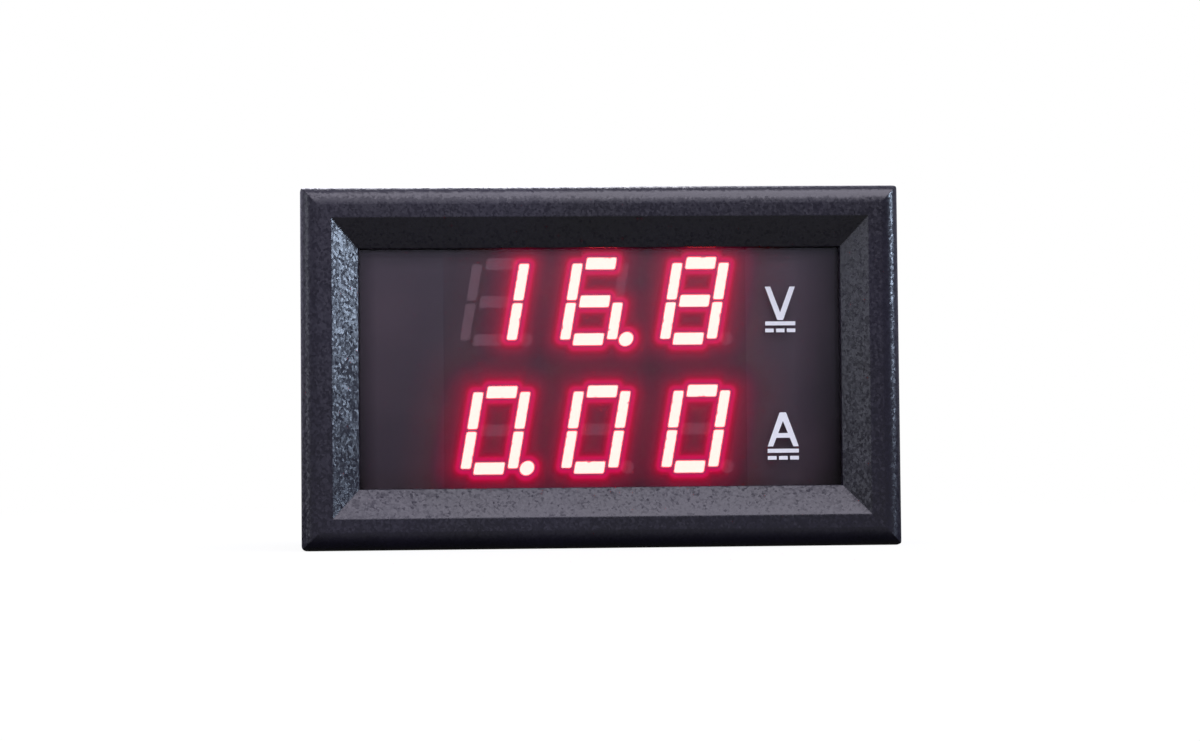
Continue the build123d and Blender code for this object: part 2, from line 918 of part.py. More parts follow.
def can_capacitor():
    """The aluminium can, with a groove rolled in near its foot and a bevelled top edge."""
    groove = can_foot_height + can_groove_height
    profile = Polygon(
        (0, can_foot_height),
        (can_radius, can_foot_height),
        (can_radius, groove - can_groove),
        (can_radius - can_groove, groove),
        (can_radius, groove + can_groove),
        (can_radius, can_height - can_edge),
        (can_radius - can_edge, can_height),
        (0, can_height),
        align=None,
    )
    return on_board(place_of["can"]) * revolve(Plane.XZ * profile, axis=Axis.Z)


def can_foot():
    """The square plastic foot under the can, two corners cut to show its polarity."""
    foot = block(can_foot_size, can_foot_size, 0, can_foot_height)
    corners = foot.edges().filter_by(Axis.Z).group_by(Axis.Y)[-1]
    return on_board(place_of["can"]) * chamfer(corners, can_foot_chamfer)


def can_leads():
    """The can's two flat leads, which reach out from under its foot."""
    reach = (can_foot_size + can_lead_reach) / 2
    plane = on_board(place_of["can"])
    return [
        plane * block(can_lead_reach, can_lead_width, 0, lead_thickness, x=side * reach)
        for side in (-1, 1)
    ]


def parts():
    """Every node of the meter by name."""
    nodes = {"housing": housing(), "window": window()}
    for name, row_z in display_rows.items():
        nodes["display_shell_" + name] = display_shell(row_z)
        nodes["display_resin_" + name] = display_resin(row_z)
        nodes["display_substrate_" + name] = display_substrate(row_z)
        nodes["display_dies_" + name] = display_dies(row_z)
        nodes["display_pins_" + name] = display_pins(row_z)
    nodes["circuit_board"] = circuit_board()
    nodes["solder_joints"] = solder_joints()
    nodes["power_socket_shell"] = power_socket_shell()
    nodes["power_socket_pins"] = power_socket_pins()
    nodes["signal_socket_shell"] = signal_socket_shell()
    nodes["signal_socket_pins"] = signal_socket_pins()
    nodes["current_shunt"] = current_shunt()
    for name in trimmer_place_shares:
        nodes[name + "_trimmer_base"] = trimmer_base_shape(place_of[name])
        nodes[name + "_trimmer_rotor"] = trimmer_rotor(place_of[name])
        nodes[name + "_trimmer_terminals"] = trimmer_terminals(place_of[name])
    nodes["controller_body"] = chip_body(
        controller_width, controller_length, controller_height, place_of["controller"]
    )
    nodes["controller_leads"] = chip_leads(
        controller_width,
        controller_height,
        controller_lead_span,
        controller_lead_width,
        controller_lead_pitch,
        controller_leads_per_side,
        place_of["controller"],
    )
    nodes["amplifier_body"] = chip_body(
        amplifier_width, amplifier_length, amplifier_height, place_of["amplifier"]
    )
    nodes["amplifier_leads"] = chip_leads(
        amplifier_width,
        amplifier_height,
        amplifier_lead_span,
        amplifier_lead_width,
        amplifier_lead_pitch,
        amplifier_leads_per_side,
        place_of["amplifier"],
    )
    nodes["regulator_body"] = regulator_case()
    nodes["regulator_metal"] = regulator_metal()
    nodes["diode_body"] = diode_case()
    nodes["diode_metal"] = diode_metal()
    resistor = (resistor_width, resistor_length, resistor_height)
    capacitor = (capacitor_width, capacitor_length, capacitor_height)
    chips = {"resistor": (resistor, resistor_planes()), "capacitor": (capacitor, capacitor_planes())}
    for name, (size, planes) in chips.items():
        nodes[f"chip_{name}_bodies"] = [plane * chip_middle(*size) for plane in planes]
        nodes[f"chip_{name}_ends"] = [plane * end for plane in planes for end in chip_ends(*size)]
    nodes["can_capacitor"] = can_capacitor()
    nodes["can_capacitor_foot"] = can_foot()
    nodes["can_capacitor_leads"] = can_leads()
    return nodes


os.makedirs("parts", exist_ok=True)
for node, shape in parts().items():
    solids = shape if isinstance(shape, list) else [shape]
    solids = [solid for piece in solids for solid in piece.solids()]
    export_step(Compound(solids) if len(solids) > 1 else solids[0], f"parts/{node}.step")
    print(node, len(solids), "solids", round(sum(solid.volume for solid in solids), 2), "mm3")
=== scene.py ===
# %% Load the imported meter
import json
import math

import bmesh
import bpy
from mathutils import Matrix, Vector
from mathutils.bvhtree import BVHTree


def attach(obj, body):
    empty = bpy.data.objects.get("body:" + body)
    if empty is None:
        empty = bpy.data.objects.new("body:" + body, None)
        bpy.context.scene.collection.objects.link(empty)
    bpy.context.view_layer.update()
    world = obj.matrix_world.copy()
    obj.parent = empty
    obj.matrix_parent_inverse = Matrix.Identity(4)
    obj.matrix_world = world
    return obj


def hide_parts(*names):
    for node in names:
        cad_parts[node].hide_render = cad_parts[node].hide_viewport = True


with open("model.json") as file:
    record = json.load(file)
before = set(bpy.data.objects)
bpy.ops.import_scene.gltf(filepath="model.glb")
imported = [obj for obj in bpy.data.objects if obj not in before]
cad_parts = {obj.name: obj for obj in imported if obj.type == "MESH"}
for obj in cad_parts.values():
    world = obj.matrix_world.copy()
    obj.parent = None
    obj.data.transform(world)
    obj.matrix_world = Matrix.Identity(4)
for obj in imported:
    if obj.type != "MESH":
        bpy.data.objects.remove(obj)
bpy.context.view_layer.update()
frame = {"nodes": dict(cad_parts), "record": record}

nodes = frame["nodes"]

# %% [markdown]
# A panel meter is a dark moulded frame with a smoked window, two rows of light-emitting digits
# behind it, and a circuit board at its open back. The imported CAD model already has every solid.
# This script gives the solids their finishes and adds what CAD leaves out: the light of the
# digits, the printed signs, the solder's smooth fillets and the marks on the board.
# Blender measures in metres. The pieces below are written in millimetres and turned to metres by
# one value. Only the studio round them, with its floor and lamps, is written in metres.

# %% Units, colours and one function that adds shader nodes
MM = 0.001


def colour(code):
    """An sRGB hex colour as Blender's linear red, green and blue, with an alpha of 1."""
    channels = [int(code[i:i + 2], 16) / 255 for i in (0, 2, 4)]
    linear = [c / 12.92 if c <= 0.04045 else ((c + 0.055) / 1.055) ** 2.4 for c in channels]
    return (*linear, 1.0)


def add(tree, kind, values=None, stops=(), **settings):
    """Adds a shader node. Settings are its own properties. Values go on its inputs, and a value
    that is another node's output socket is linked. Stops are a colour ramp's, each a position
    and a colour, from the lowest position up."""
    made = tree.nodes.new("ShaderNode" + kind)
    for name, value in settings.items():
        setattr(made, name, value)
    for name, value in (values or {}).items():
        if isinstance(value, bpy.types.NodeSocket):
            tree.links.new(value, made.inputs[name])
        else:
            made.inputs[name].default_value = value
    if stops:
        elements = made.color_ramp.elements
        while len(elements) < len(stops):
            elements.new(1.0)
        for element, (position, shade) in zip(elements, stops):
            element.position = position
            element.color = shade
    return made


def new_material(name):
    """An empty node material and its tree."""
    made = bpy.data.materials.new(name)
    made.use_nodes = True
    made.node_tree.nodes.clear()
    return made, made.node_tree


def finish_material(tree, shader_socket):
    """Links a shader to the material's output."""
    output = add(tree, "OutputMaterial")
    tree.links.new(shader_socket, output.inputs["Surface"])


print("white is", [round(v, 3) for v in colour("FFFFFF")])

# %% [markdown]
# ## Housing plastic
# The housing is one moulding of black ABS. Its mould was spark-eroded, which leaves a fine
# random grain a fifth of a millimetre across. The grain makes the sloping faces glitter under a
# small lamp, because each grain leans its own way and only some of them mirror the lamp. An image
# of the grain could be wrapped round the shape, and a noise texture could drive a bump, but a bump
# this fine averages out to a smooth haze. So a Voronoi texture splits the surface into small
# cells. Each cell has one random colour, and that colour leans the whole cell's normal a little.
# The texture runs on Object coordinates, which need no unwrapping and keep the grain's real size.
# A Bevel node softens the corners first, because no mould leaves a perfectly sharp edge.

# %% ABS, spark-eroded mould
GRAIN = 0.19  # mm, the size of the grain's facets
TILT = 0.13  # how far a facet leans, as a share of the surface's own direction
PATCH = 9.0  # mm, the size of the soft patches of tone
MOULD_CORNER = 0.14  # mm, the radius that a mould leaves on its edges
housing_abs, tree = new_material("abs_spark_eroded_black")
place = add(tree, "TexCoord")
facets = add(tree, "TexVoronoi", {"Vector": place.outputs["Object"], "Scale": 1 / (GRAIN * MM)})
patches = add(tree, "TexNoise", {
    "Vector": place.outputs["Object"],
    "Scale": 1 / (PATCH * MM),
    "Detail": 3.0,
})
tone = add(tree, "ValToRGB", {"Fac": patches.outputs["Fac"]},
           stops=((0.3, colour("12101C")), (0.75, colour("191626"))))
soft_edges = add(tree, "Bevel", {"Radius": MOULD_CORNER * MM}, samples=4)
centred = add(tree, "VectorMath", {0: facets.outputs["Color"], 1: (0.5, 0.5, 0.5)},
              operation="SUBTRACT")
lean = add(tree, "VectorMath", {0: centred.outputs["Vector"], "Scale": TILT}, operation="SCALE")
leaning = add(tree, "VectorMath", {0: soft_edges.outputs["Normal"], 1: lean.outputs["Vector"]})
relief = add(tree, "VectorMath", {0: leaning.outputs["Vector"]}, operation="NORMALIZE")
shader = add(tree, "BsdfPrincipled", {
    "Base Color": tone.outputs["Color"],
    "Roughness": 0.28,
    "Specular IOR Level": 0.5,
    "Normal": relief.outputs["Vector"],
})
finish_material(tree, shader.outputs["BSDF"])
print("housing grain every", GRAIN, "mm")

# %% [markdown]
# ## Window
# The window is smoked acrylic, clear but dark, and polished on both faces. Glass can be shaded
# with full refraction, but the pane is thin and flat, so nothing behind it is bent. A Transparent
# shader with the smoke's tint, mixed with a sharp gloss by a Fresnel node, lets the lamps in
# and shows the same picture without noise. The gloss is weaker than bare acrylic's.

# %% Acrylic, smoked and polished
SMOKE = colour("E2DDE3")
window_acrylic, tree = new_material("acrylic_smoked_polished")
smoke = add(tree, "BsdfTransparent", {"Color": SMOKE})
gloss = add(tree, "BsdfAnisotropic", {"Color": colour("BCBCBE"), "Roughness": 0.03})
bend = add(tree, "Fresnel", {"IOR": 1.49})
pane = add(tree, "MixShader", {
    "Fac": bend.outputs["Fac"],
    1: smoke.outputs["BSDF"],
    2: gloss.outputs["BSDF"],
})
finish_material(tree, pane.outputs["Shader"])
print("each face of the window lets through", [round(v, 2) for v in SMOKE[:3]])

# %% [markdown]
# ## Display mouldings
# Each display is a white reflector moulding with a printed black face. Its bars are wells filled
# with milky epoxy. The moulding could be cut in two pieces with a colour each, but the black
# print covers the front alone. So a Greater Than node compares each point's depth along Y with
# the print's, and the colour changes there.

# %% Polycarbonate with a black printed face
FACE_Y = 0.9  # mm, the displays' front
PRINT_DEPTH = 0.12  # mm behind the front where the white moulding starts to show
SPECKLE = 0.15  # mm, the size of the face's fine relief
reflector, tree = new_material("polycarbonate_white_black_face")
place = add(tree, "TexCoord")
parts = add(tree, "SeparateXYZ", {"Vector": place.outputs["Object"]})
behind = add(tree, "Math", {0: parts.outputs["Y"], 1: (FACE_Y + PRINT_DEPTH) * MM},
             operation="GREATER_THAN")
moulding = add(tree, "Mix", {
    "Factor": behind.outputs[0],
    6: colour("171519"),
    7: colour("C9C7C2"),
}, data_type="RGBA")
speckle = add(tree, "TexNoise", {"Vector": place.outputs["Object"], "Scale": 1 / (SPECKLE * MM)})
relief = add(tree, "Bump", {
    "Height": speckle.outputs["Fac"],
    "Strength": 0.2,
    "Distance": 0.02 * MM,
})
shader = add(tree, "BsdfPrincipled", {"Roughness": 0.6, "Normal": relief.outputs["Normal"]})
tree.links.new(moulding.outputs[2], shader.inputs["Base Color"])
finish_material(tree, shader.outputs["BSDF"])
print("the black face ends", PRINT_DEPTH, "mm behind the front")

# %% [markdown]
# Seen through the window, the unlit bars are only a little lighter than the face round them. The
# epoxy in them catches a little of their lit neighbours' light, which reaches it inside the
# moulding. That is drawn as a faint glow of its own, so that it needs no light through the wall.

# %% Milky epoxy in the bars' wells
CLOUD = 0.8  # mm, the size of the epoxy's cloudy patches
STRAY_LIGHT = 0.33  # strength of the light that leaks into an unlit bar
milky_epoxy, tree = new_material("epoxy_milky_cast")
place = add(tree, "TexCoord")
cloud = add(tree, "TexNoise", {"Vector": place.outputs["Object"], "Scale": 1 / (CLOUD * MM)})
tone = add(tree, "ValToRGB", {"Fac": cloud.outputs["Fac"]},
           stops=((0.0, colour("D9CFD4")), (1.0, colour("E8E0E3"))))
shader = add(tree, "BsdfPrincipled", {
    "Base Color": tone.outputs["Color"],
    "Roughness": 0.35,
    "Emission Color": (1.0, 0.7, 0.82, 1.0),
    "Emission Strength": STRAY_LIGHT,
})
finish_material(tree, shader.outputs["BSDF"])
print("light in the unlit bars", STRAY_LIGHT)

# %% [markdown]
# ## Digits
# A lit bar is far brighter than the camera can record, so its middle turns nearly white and only
# the light spilt round it keeps the red. The emission here has a strong red and a weaker green
# and blue: the render clips the red just as a sensor does, while the light that falls on the
# frame stays red. The bars could be one drawing on the window, but a real bar is a face on the
# display, so each lit bar gets a thin pad on the epoxy's own face, in the same place and slant.

# %% Measures of the digits in mm, as in the part's source
DIGIT_PITCH = 8.13
DISPLAY_X = -0.38
ROWS = {"upper": 5.42, "lower": -4.98}
SLANT = math.tan(math.radians(10.0))
FLAT_BAR = (2.4, 0.95)
FLAT_STEP = 3.08
UPRIGHT_BAR = (0.8, 2.95)
UPRIGHT_PLACE = (1.9, 1.6)
DOT_PLACE, DOT_RADIUS, DOT_SIDES = 3.06, 0.57, 32
BAR_CORNER = 0.12
READING = {"upper": ("bc", "acdefg.", "abcdefg"), "lower": ("abcdef.", "abcdef", "abcdef")}

bar_sizes = {
    "a": (0, FLAT_STEP, *FLAT_BAR),
    "g": (0, 0, *FLAT_BAR),
    "d": (0, -FLAT_STEP, *FLAT_BAR),
    "b": (UPRIGHT_PLACE[0], UPRIGHT_PLACE[1], *UPRIGHT_BAR),
    "c": (UPRIGHT_PLACE[0], -UPRIGHT_PLACE[1], *UPRIGHT_BAR),
    "e": (-UPRIGHT_PLACE[0], -UPRIGHT_PLACE[1], *UPRIGHT_BAR),
    "f": (-UPRIGHT_PLACE[0], UPRIGHT_PLACE[1], *UPRIGHT_BAR),
}
print("lit bars and dots", {row: sum(len(letters) for letters in READING[row]) for row in ROWS})

# %% [markdown]
# A bmesh is a mesh under construction in memory. Each new piece is drawn in one with Blender's
# mesh operators, and then becomes an object whose origin is the meter's own, so that a texture on
# Object coordinates stays put. A shape could also be typed in as lists of corners and faces, but
# operators show how it was made. A piece that rides a body moves with that body.

# %% From a bmesh to a piece of the meter
UPRIGHT = Matrix.Rotation(math.radians(90), 3, "X")  # stands a flat shape up, facing -Y


def new_piece(name, mesh_tool, material, body="meter", smooth=None):
    """Turns a bmesh in millimetres into an object in metres that rides on a body."""
    bmesh.ops.scale(mesh_tool, vec=Vector((MM, MM, MM)), verts=mesh_tool.verts)
    mesh = bpy.data.meshes.new(name)
    mesh_tool.to_mesh(mesh)
    mesh_tool.free()
    if smooth is not None:
        mesh.shade_smooth()
        mesh.set_sharp_from_angle(angle=math.radians(smooth))
    made = bpy.data.objects.new(name, mesh)
    bpy.context.scene.collection.objects.link(made)
    made.data.materials.append(material)
    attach(made, body)
    return made


def thicken(target, along_y):
    """Gives every flat face of a bmesh its thickness along Y."""
    thick = bmesh.ops.extrude_face_region(target, geom=target.faces[:])
    lifted = [v for v in thick["geom"] if isinstance(v, bmesh.types.BMVert)]
    bmesh.ops.translate(target, vec=(0, along_y, 0), verts=lifted)


print("flat shapes are stood up by", round(math.degrees(UPRIGHT.to_euler().x)), "degrees")

# %% [markdown]
# A bar is a flat rectangle with slightly rounded corners, and a decimal point is a flat disc. Both
# are drawn upright in their digit's own place. Then each corner moves sideways by a share of its
# height, which slants the digit as the real moulding is slanted.

# %% Flat bars and dots
def stand_up(target, corners, centre_x, centre_z):
    """Turns corners drawn flat to face -Y at y = 0, round a place on the digit."""
    bmesh.ops.rotate(target, matrix=UPRIGHT, verts=corners)
    bmesh.ops.translate(target, vec=(centre_x, 0, centre_z), verts=corners)
    return corners


def flat_bar(target, centre_x, centre_z, width, height):
    """Adds one bar in its digit's own unslanted place."""
    made = bmesh.ops.create_grid(target, x_segments=1, y_segments=1, size=0.5)["verts"]
    bmesh.ops.scale(target, vec=(width, height, 1), verts=made)
    return stand_up(target, made, centre_x, centre_z)


def flat_dot(target):
    """Adds a decimal point in its digit's own unslanted place."""
    made = bmesh.ops.create_circle(
        target, cap_ends=True, segments=DOT_SIDES, radius=DOT_RADIUS)["verts"]
    return stand_up(target, made, DOT_PLACE, -FLAT_STEP)


def lit_faces(row):
    """A bmesh of a row's lit bars as flat faces on the display's face."""
    made = bmesh.new()

    def set_in_place(corners, digit):
        for v in corners:
            v.co.x += v.co.z * SLANT + DISPLAY_X + (digit - 1) * DIGIT_PITCH
            v.co.z += ROWS[row]

    for digit, letters in enumerate(READING[row]):
        for letter in letters.replace(".", ""):
            set_in_place(flat_bar(made, *bar_sizes[letter]), digit)
    bmesh.ops.bevel(made, geom=made.verts[:], affect="VERTICES", offset=BAR_CORNER,
                    segments=3, profile=0.5, material=-1)
    for digit, letters in enumerate(READING[row]):
        if "." in letters:
            set_in_place(flat_dot(made), digit)
    bmesh.ops.recalc_face_normals(made, faces=made.faces)
    return made


bar_shapes = [lit_faces(row) for row in ROWS]
print("flat faces", [len(shape.faces) for shape in bar_shapes])

# %% Lit bars
PAD = 0.02  # mm that a lit bar's pad stands in front of the epoxy
GLOW = 36.0  # strength of a lit bar's red

lit_bar, tree = new_material("epoxy_milky_lit_from_behind")
shader = add(tree, "BsdfPrincipled", {
    "Base Color": colour("A2949B"),
    "Roughness": 0.35,
    "Emission Color": (1.0, 0.052, 0.041, 1.0),
    "Emission Strength": GLOW,
})
finish_material(tree, shader.outputs["BSDF"])

for row, shape in zip(ROWS, bar_shapes):
    pads = shape.copy()
    thicken(pads, -PAD)
    bmesh.ops.translate(pads, vec=(0, FACE_Y, 0), verts=pads.verts)
    bmesh.ops.recalc_face_normals(pads, faces=pads.faces)
    piece = new_piece("lit_bars_" + row, pads, lit_bar)
    print(piece.name, len(piece.data.polygons), "faces")

# %% [markdown]
# ## The window's satin back, and the glow round the bars
# The window's back is a dark satin layer. It hides the inside of the housing. The digits' light
# that it scatters, a crimson edge round each bar that fades to a dull maroon between the digits,
# is a painted glow that the layer itself emits. A camera effect could fake that, but it would
# vanish in any other picture of the meter. Instead the layer is its own thin sheet of squares,
# finer near the bars. Each corner stores its distance to the nearest lit bar, less than zero
# inside one, and colour ramps turn that distance into the painted glow, into how much the layer
# covers and how much of its grey shows. Beside the displays it covers nearly everything, as a
# sheet that stands in for the shade inside the housing, since nothing there is meant to be seen.

# %% Distance from a place on the display to the nearest lit bar
HALF_WALL = 0.5  # mm that an outline reaches to each side of the display's face
ON_FACE = 1e-5  # mm within which a place lies on a bar's face

faces = [BVHTree.FromBMesh(shape) for shape in bar_shapes]
outlines = []
for shape in bar_shapes:
    wall = shape.copy()
    bmesh.ops.delete(wall, geom=wall.faces[:], context="FACES_ONLY")
    bmesh.ops.translate(wall, vec=(0, -HALF_WALL, 0), verts=wall.verts)
    raised = bmesh.ops.extrude_edge_only(wall, edges=wall.edges[:])
    lifted = [v for v in raised["geom"] if isinstance(v, bmesh.types.BMVert)]
    bmesh.ops.translate(wall, vec=(0, 2 * HALF_WALL, 0), verts=lifted)
    outlines.append(BVHTree.FromBMesh(wall))
    wall.free()


def to_bars(x, z):
    """Distance in mm to the nearest lit bar's outline, below zero inside a bar."""
    probe = Vector((x, 0, z))
    edge = min(outline.find_nearest(probe)[3] for outline in outlines)
    inside = min(face.find_nearest(probe)[3] for face in faces) < ON_FACE
    return -edge if inside else edge


print("the middle of the displays is", round(to_bars(DISPLAY_X, 0), 2), "mm from a lit bar")

# %% [markdown]
# The sheet is a grid. A picture of the glow would be blurred or heavy, while a value stored at
# the grid's corners is blended across each square. The light changes fast only near a bar, so
# only the squares there are divided again.

# %% The layer's squares, finer near the bars
LAYER_SIZE = (41.2, 20.2)  # mm
LAYER_Y = 0.85
LAYER_STEP = 0.52
FINE_ZONE = 1.5  # mm round the bars where the squares are four times finer

layer = bmesh.new()
counts = [round(size / LAYER_STEP) for size in LAYER_SIZE]
bmesh.ops.create_grid(layer, x_segments=counts[0], y_segments=counts[1], size=0.5)
bmesh.ops.scale(layer, vec=(LAYER_SIZE[0], LAYER_SIZE[1], 1), verts=layer.verts)
bmesh.ops.rotate(layer, matrix=UPRIGHT, verts=layer.verts)
bmesh.ops.translate(layer, vec=(0, LAYER_Y, 0), verts=layer.verts)
near = {e for f in layer.faces for e in f.edges
        if to_bars(*f.calc_center_median().xz) < FINE_ZONE}
bmesh.ops.subdivide_edges(layer, edges=list(near), cuts=3, use_grid_fill=True)
reach = layer.verts.layers.float.new("bar_distance")
for v in layer.verts:
    v[reach] = to_bars(v.co.x, v.co.z)
print("squares", len(layer.faces), "from", counts[0] * counts[1])

# %% [markdown]
# A Color Ramp node turns one number into a colour. Three of them read the same distance: one for
# the painted glow that stands for the light the layer scatters, one for how much it covers, and
# one for how much of its own grey shows. Their stops were matched to the photograph's glow, from
# the bars outwards.

# %% Light, cover and grey for each distance
INSIDE, FAR = -0.1, 7.0  # mm, the range of distances that the ramps cover
LAYER_GREY = colour("C1B9BA")
# Each stop: distance in mm, the painted glow's red, green and blue, how much the layer covers, and
# the share of its own grey that shows. Close to a bar its glow drowns the grey.
glow_stops = [
    (-0.02, (1.0, 0.0, 0.14), 0.0, 0.0),
    (0.03, (0.6, 0.26, 0.38), 0.9, 0.07),
    (0.08, (0.6, 0.12, 0.23), 0.9, 0.09),
    (0.15, (0.95, 0.0, 0.14), 0.9, 0.11),
    (0.27, (1.2, 0.0, 0.15), 0.9, 0.11),
    (0.36, (1.16, 0.0, 0.13), 0.9, 0.11),
    (0.45, (0.92, 0.0, 0.08), 0.9, 0.11),
    (0.55, (0.7, 0.0, 0.055), 0.9, 0.11),
    (0.65, (0.55, 0.0, 0.048), 0.9, 0.17),
    (0.78, (0.41, 0.0, 0.04), 0.88, 0.24),
    (0.93, (0.35, 0.0, 0.037), 0.86, 0.35),
    (1.12, (0.275, 0.0, 0.033), 0.84, 0.42),
    (1.37, (0.21, 0.0, 0.028), 0.82, 0.48),
    (1.75, (0.155, 0.0, 0.023), 0.8, 0.56),
    (2.25, (0.075, 0.0, 0.014), 0.78, 0.72),
    (2.75, (0.04, 0.0, 0.0), 0.78, 0.9),
    (3.5, (0.022, 0.0, 0.0), 0.78, 1.0),
    (5.3, (0.0, 0.0, 0.0), 0.78, 1.0),
    (6.6, (0.0, 0.0, 0.0), 0.97, 1.0),
]


def ramp_stops(pick):
    """The stops of one ramp: each distance's place on it, and what pick makes of the stop."""
    return [((stop[0] - INSIDE) / (FAR - INSIDE), (*pick(stop), 1.0)) for stop in glow_stops]


satin_layer, tree = new_material("acrylic_satin_back_painted_glow")
distance = add(tree, "Attribute", attribute_name="bar_distance")
position = add(tree, "MapRange", {
    "Value": distance.outputs["Fac"], "From Min": INSIDE, "From Max": FAR})
light = add(tree, "ValToRGB", {"Fac": position.outputs["Result"]},
            stops=ramp_stops(lambda stop: stop[1]))
cover = add(tree, "ValToRGB", {"Fac": position.outputs["Result"]},
            stops=ramp_stops(lambda stop: (stop[2],) * 3))
own_grey = add(tree, "ValToRGB", {"Fac": position.outputs["Result"]},
               stops=ramp_stops(lambda stop: [stop[3] * c for c in LAYER_GREY[:3]]))
print("distances with a stop of their own", len(glow_stops))

# %% [markdown]
# The layer isn't evenly grey. It is slightly mottled, it has painted shade towards the window's
# edge, where the frame shades it, and it is a little redder where a display stands right behind
# it. The shades are multiplied, so that each can be set alone.

# %% The layer's mottle and its painted edge shade
MOTTLE = 9.0  # mm, the size of the soft patches
SCREEN_FROM, SCREEN_TO = 12.15, 12.3  # mm from the displays' middle, where the screen begins
SCREEN_COVER = 0.985
TOP_SHADE = 0.12
# Axis, where in mm the layer is fully bright and where its painted shade is darkest, and the share
# that is left there.
painted_shade_edges = (("Z", 8.95, 9.75, TOP_SHADE), ("X", 15.8, 19.4, 0.15), ("X", -18.0, -19.4, 0.5))

place = add(tree, "TexCoord")
mottle = add(tree, "TexNoise", {
    "Vector": place.outputs["Object"], "Scale": 1 / (MOTTLE * MM), "Detail": 1.0})
shade = add(tree, "ValToRGB", {"Fac": mottle.outputs["Fac"]},
            stops=((0.38, colour("E4E4E4")), (0.64, colour("FFF8F6"))))
parts = add(tree, "SeparateXYZ", {"Vector": place.outputs["Object"]})
fades = []
for axis, full, dark, least in painted_shade_edges:
    fades.append(add(tree, "MapRange", {
        "Value": parts.outputs[axis], "From Min": dark * MM, "From Max": full * MM,
        "To Min": least, "To Max": 1.0}).outputs["Result"])
painted_edge_dimming = fades[0]
for fade in fades[1:]:
    painted_edge_dimming = add(tree, "Math", {0: painted_edge_dimming, 1: fade}, operation="MULTIPLY").outputs[0]
print("edges that darken", len(fades))

# %% [markdown]
# Over the displays the layer is a veil, which the unlit bars show through. Beside them it is a
# screen, a sheet of painted shade in place of the housing's dark inside, because the real window
# shows nothing of the housing's inside there.

# %% The screen of painted shade beside the displays
off_middle = add(tree, "Math", {0: parts.outputs["X"], 1: -DISPLAY_X * MM})
beside = add(tree, "Math", {0: off_middle.outputs[0]}, operation="ABSOLUTE")
on_display = add(tree, "MapRange", {
    "Value": beside.outputs[0], "From Min": SCREEN_TO * MM, "From Max": SCREEN_FROM * MM})
screen = add(tree, "MapRange", {
    "Value": beside.outputs[0], "From Min": SCREEN_FROM * MM, "From Max": SCREEN_TO * MM,
    "To Min": 0.0, "To Max": SCREEN_COVER})
covered = add(tree, "Math", {0: cover.outputs["Color"], 1: screen.outputs["Result"]},
              operation="MAXIMUM")
print("beside the displays the layer covers", SCREEN_COVER)

# %% The layer's grey, its painted glow and its shader
LIGHT_AT_TOP = 0.6  # share of the glow that is left at the window's darkened upper edge
backing = add(tree, "Mix", {
    "Factor": on_display.outputs["Result"],
    6: colour("F0EFF3"),
    7: colour("FFF3F4"),
}, data_type="RGBA")
tinted = add(tree, "Mix", {
    "Factor": 1.0,
    6: own_grey.outputs["Color"],
    7: shade.outputs["Color"],
}, data_type="RGBA", blend_type="MULTIPLY")
backed = add(tree, "Mix", {"Factor": 1.0, 6: tinted.outputs[2], 7: backing.outputs[2]},
             data_type="RGBA", blend_type="MULTIPLY")
# Painted shade: the layer's grey darkens towards the window's edges, where the frame shades it.
grey = add(tree, "Mix", {"Factor": painted_edge_dimming, 6: (0, 0, 0, 1), 7: backed.outputs[2]},
           data_type="RGBA")
# Painted shade also dims the glow at the window's upper edge.
light_left = add(tree, "MapRange", {
    "Value": fades[0], "From Min": TOP_SHADE, "From Max": 1.0,
    "To Min": LIGHT_AT_TOP, "To Max": 1.0})
# The layer emits the painted glow round the bars, dimmed by the painted shade at the window's top.
shader = add(tree, "BsdfPrincipled", {
    "Base Color": grey.outputs[2],
    "Roughness": 0.7,
    "Specular IOR Level": 0.0,
    "Emission Color": light.outputs["Color"],
    "Emission Strength": light_left.outputs["Result"],
    "Alpha": covered.outputs[0],
})
finish_material(tree, shader.outputs["BSDF"])
satin = new_piece("window_satin_layer", layer, satin_layer)
print("satin layer", len(satin.data.polygons), "faces")

# %% [markdown]
# ## Unit signs
# V and A with a solid and a dashed line, the sign for direct current, are printed in white on the
# window. Text objects could be used, but the strokes have one plain width, so each letter is
# made from straight strokes.

# %% White ink and a thin printed layer
INK = 0.015  # mm, the ink's thickness
INK_STROKE = 0.41  # mm, the width of a letter's strokes
SIDE_CUT = 1.08  # a slanted stroke is this much wider along X than across its own length
WINDOW_Y = -0.2  # mm, the window's front
WEAR = 0.3  # mm, the size of the ink's faint unevenness

white_ink, tree = new_material("pad_print_white_ink")
place = add(tree, "TexCoord")
wear = add(tree, "TexNoise", {
    "Vector": place.outputs["Object"], "Scale": 1 / (WEAR * MM), "Detail": 3.0})
tone = add(tree, "ValToRGB", {"Fac": wear.outputs["Fac"]},
           stops=((0.0, colour("ECEDF8")), (1.0, colour("FAFAFF"))))
shader = add(tree, "BsdfPrincipled", {"Base Color": tone.outputs["Color"], "Roughness": 0.55})
finish_material(tree, shader.outputs["BSDF"])


def thin_layer(name, outlines, base_y, rise, material):
    """A flat print: outlines of (x, z) corners at base_y are joined where they share corners,
    then the whole print gets its thickness along Y."""
    sheet = bmesh.new()
    for outline in outlines:
        sheet.faces.new([sheet.verts.new((x, base_y, z)) for x, z in outline])
    bmesh.ops.remove_doubles(sheet, verts=sheet.verts, dist=0.001)
    bmesh.ops.recalc_face_normals(sheet, faces=sheet.faces)
    thicken(sheet, rise)
    bmesh.ops.recalc_face_normals(sheet, faces=sheet.faces)
    return new_piece(name, sheet, material)


print("ink", INK, "mm thick")

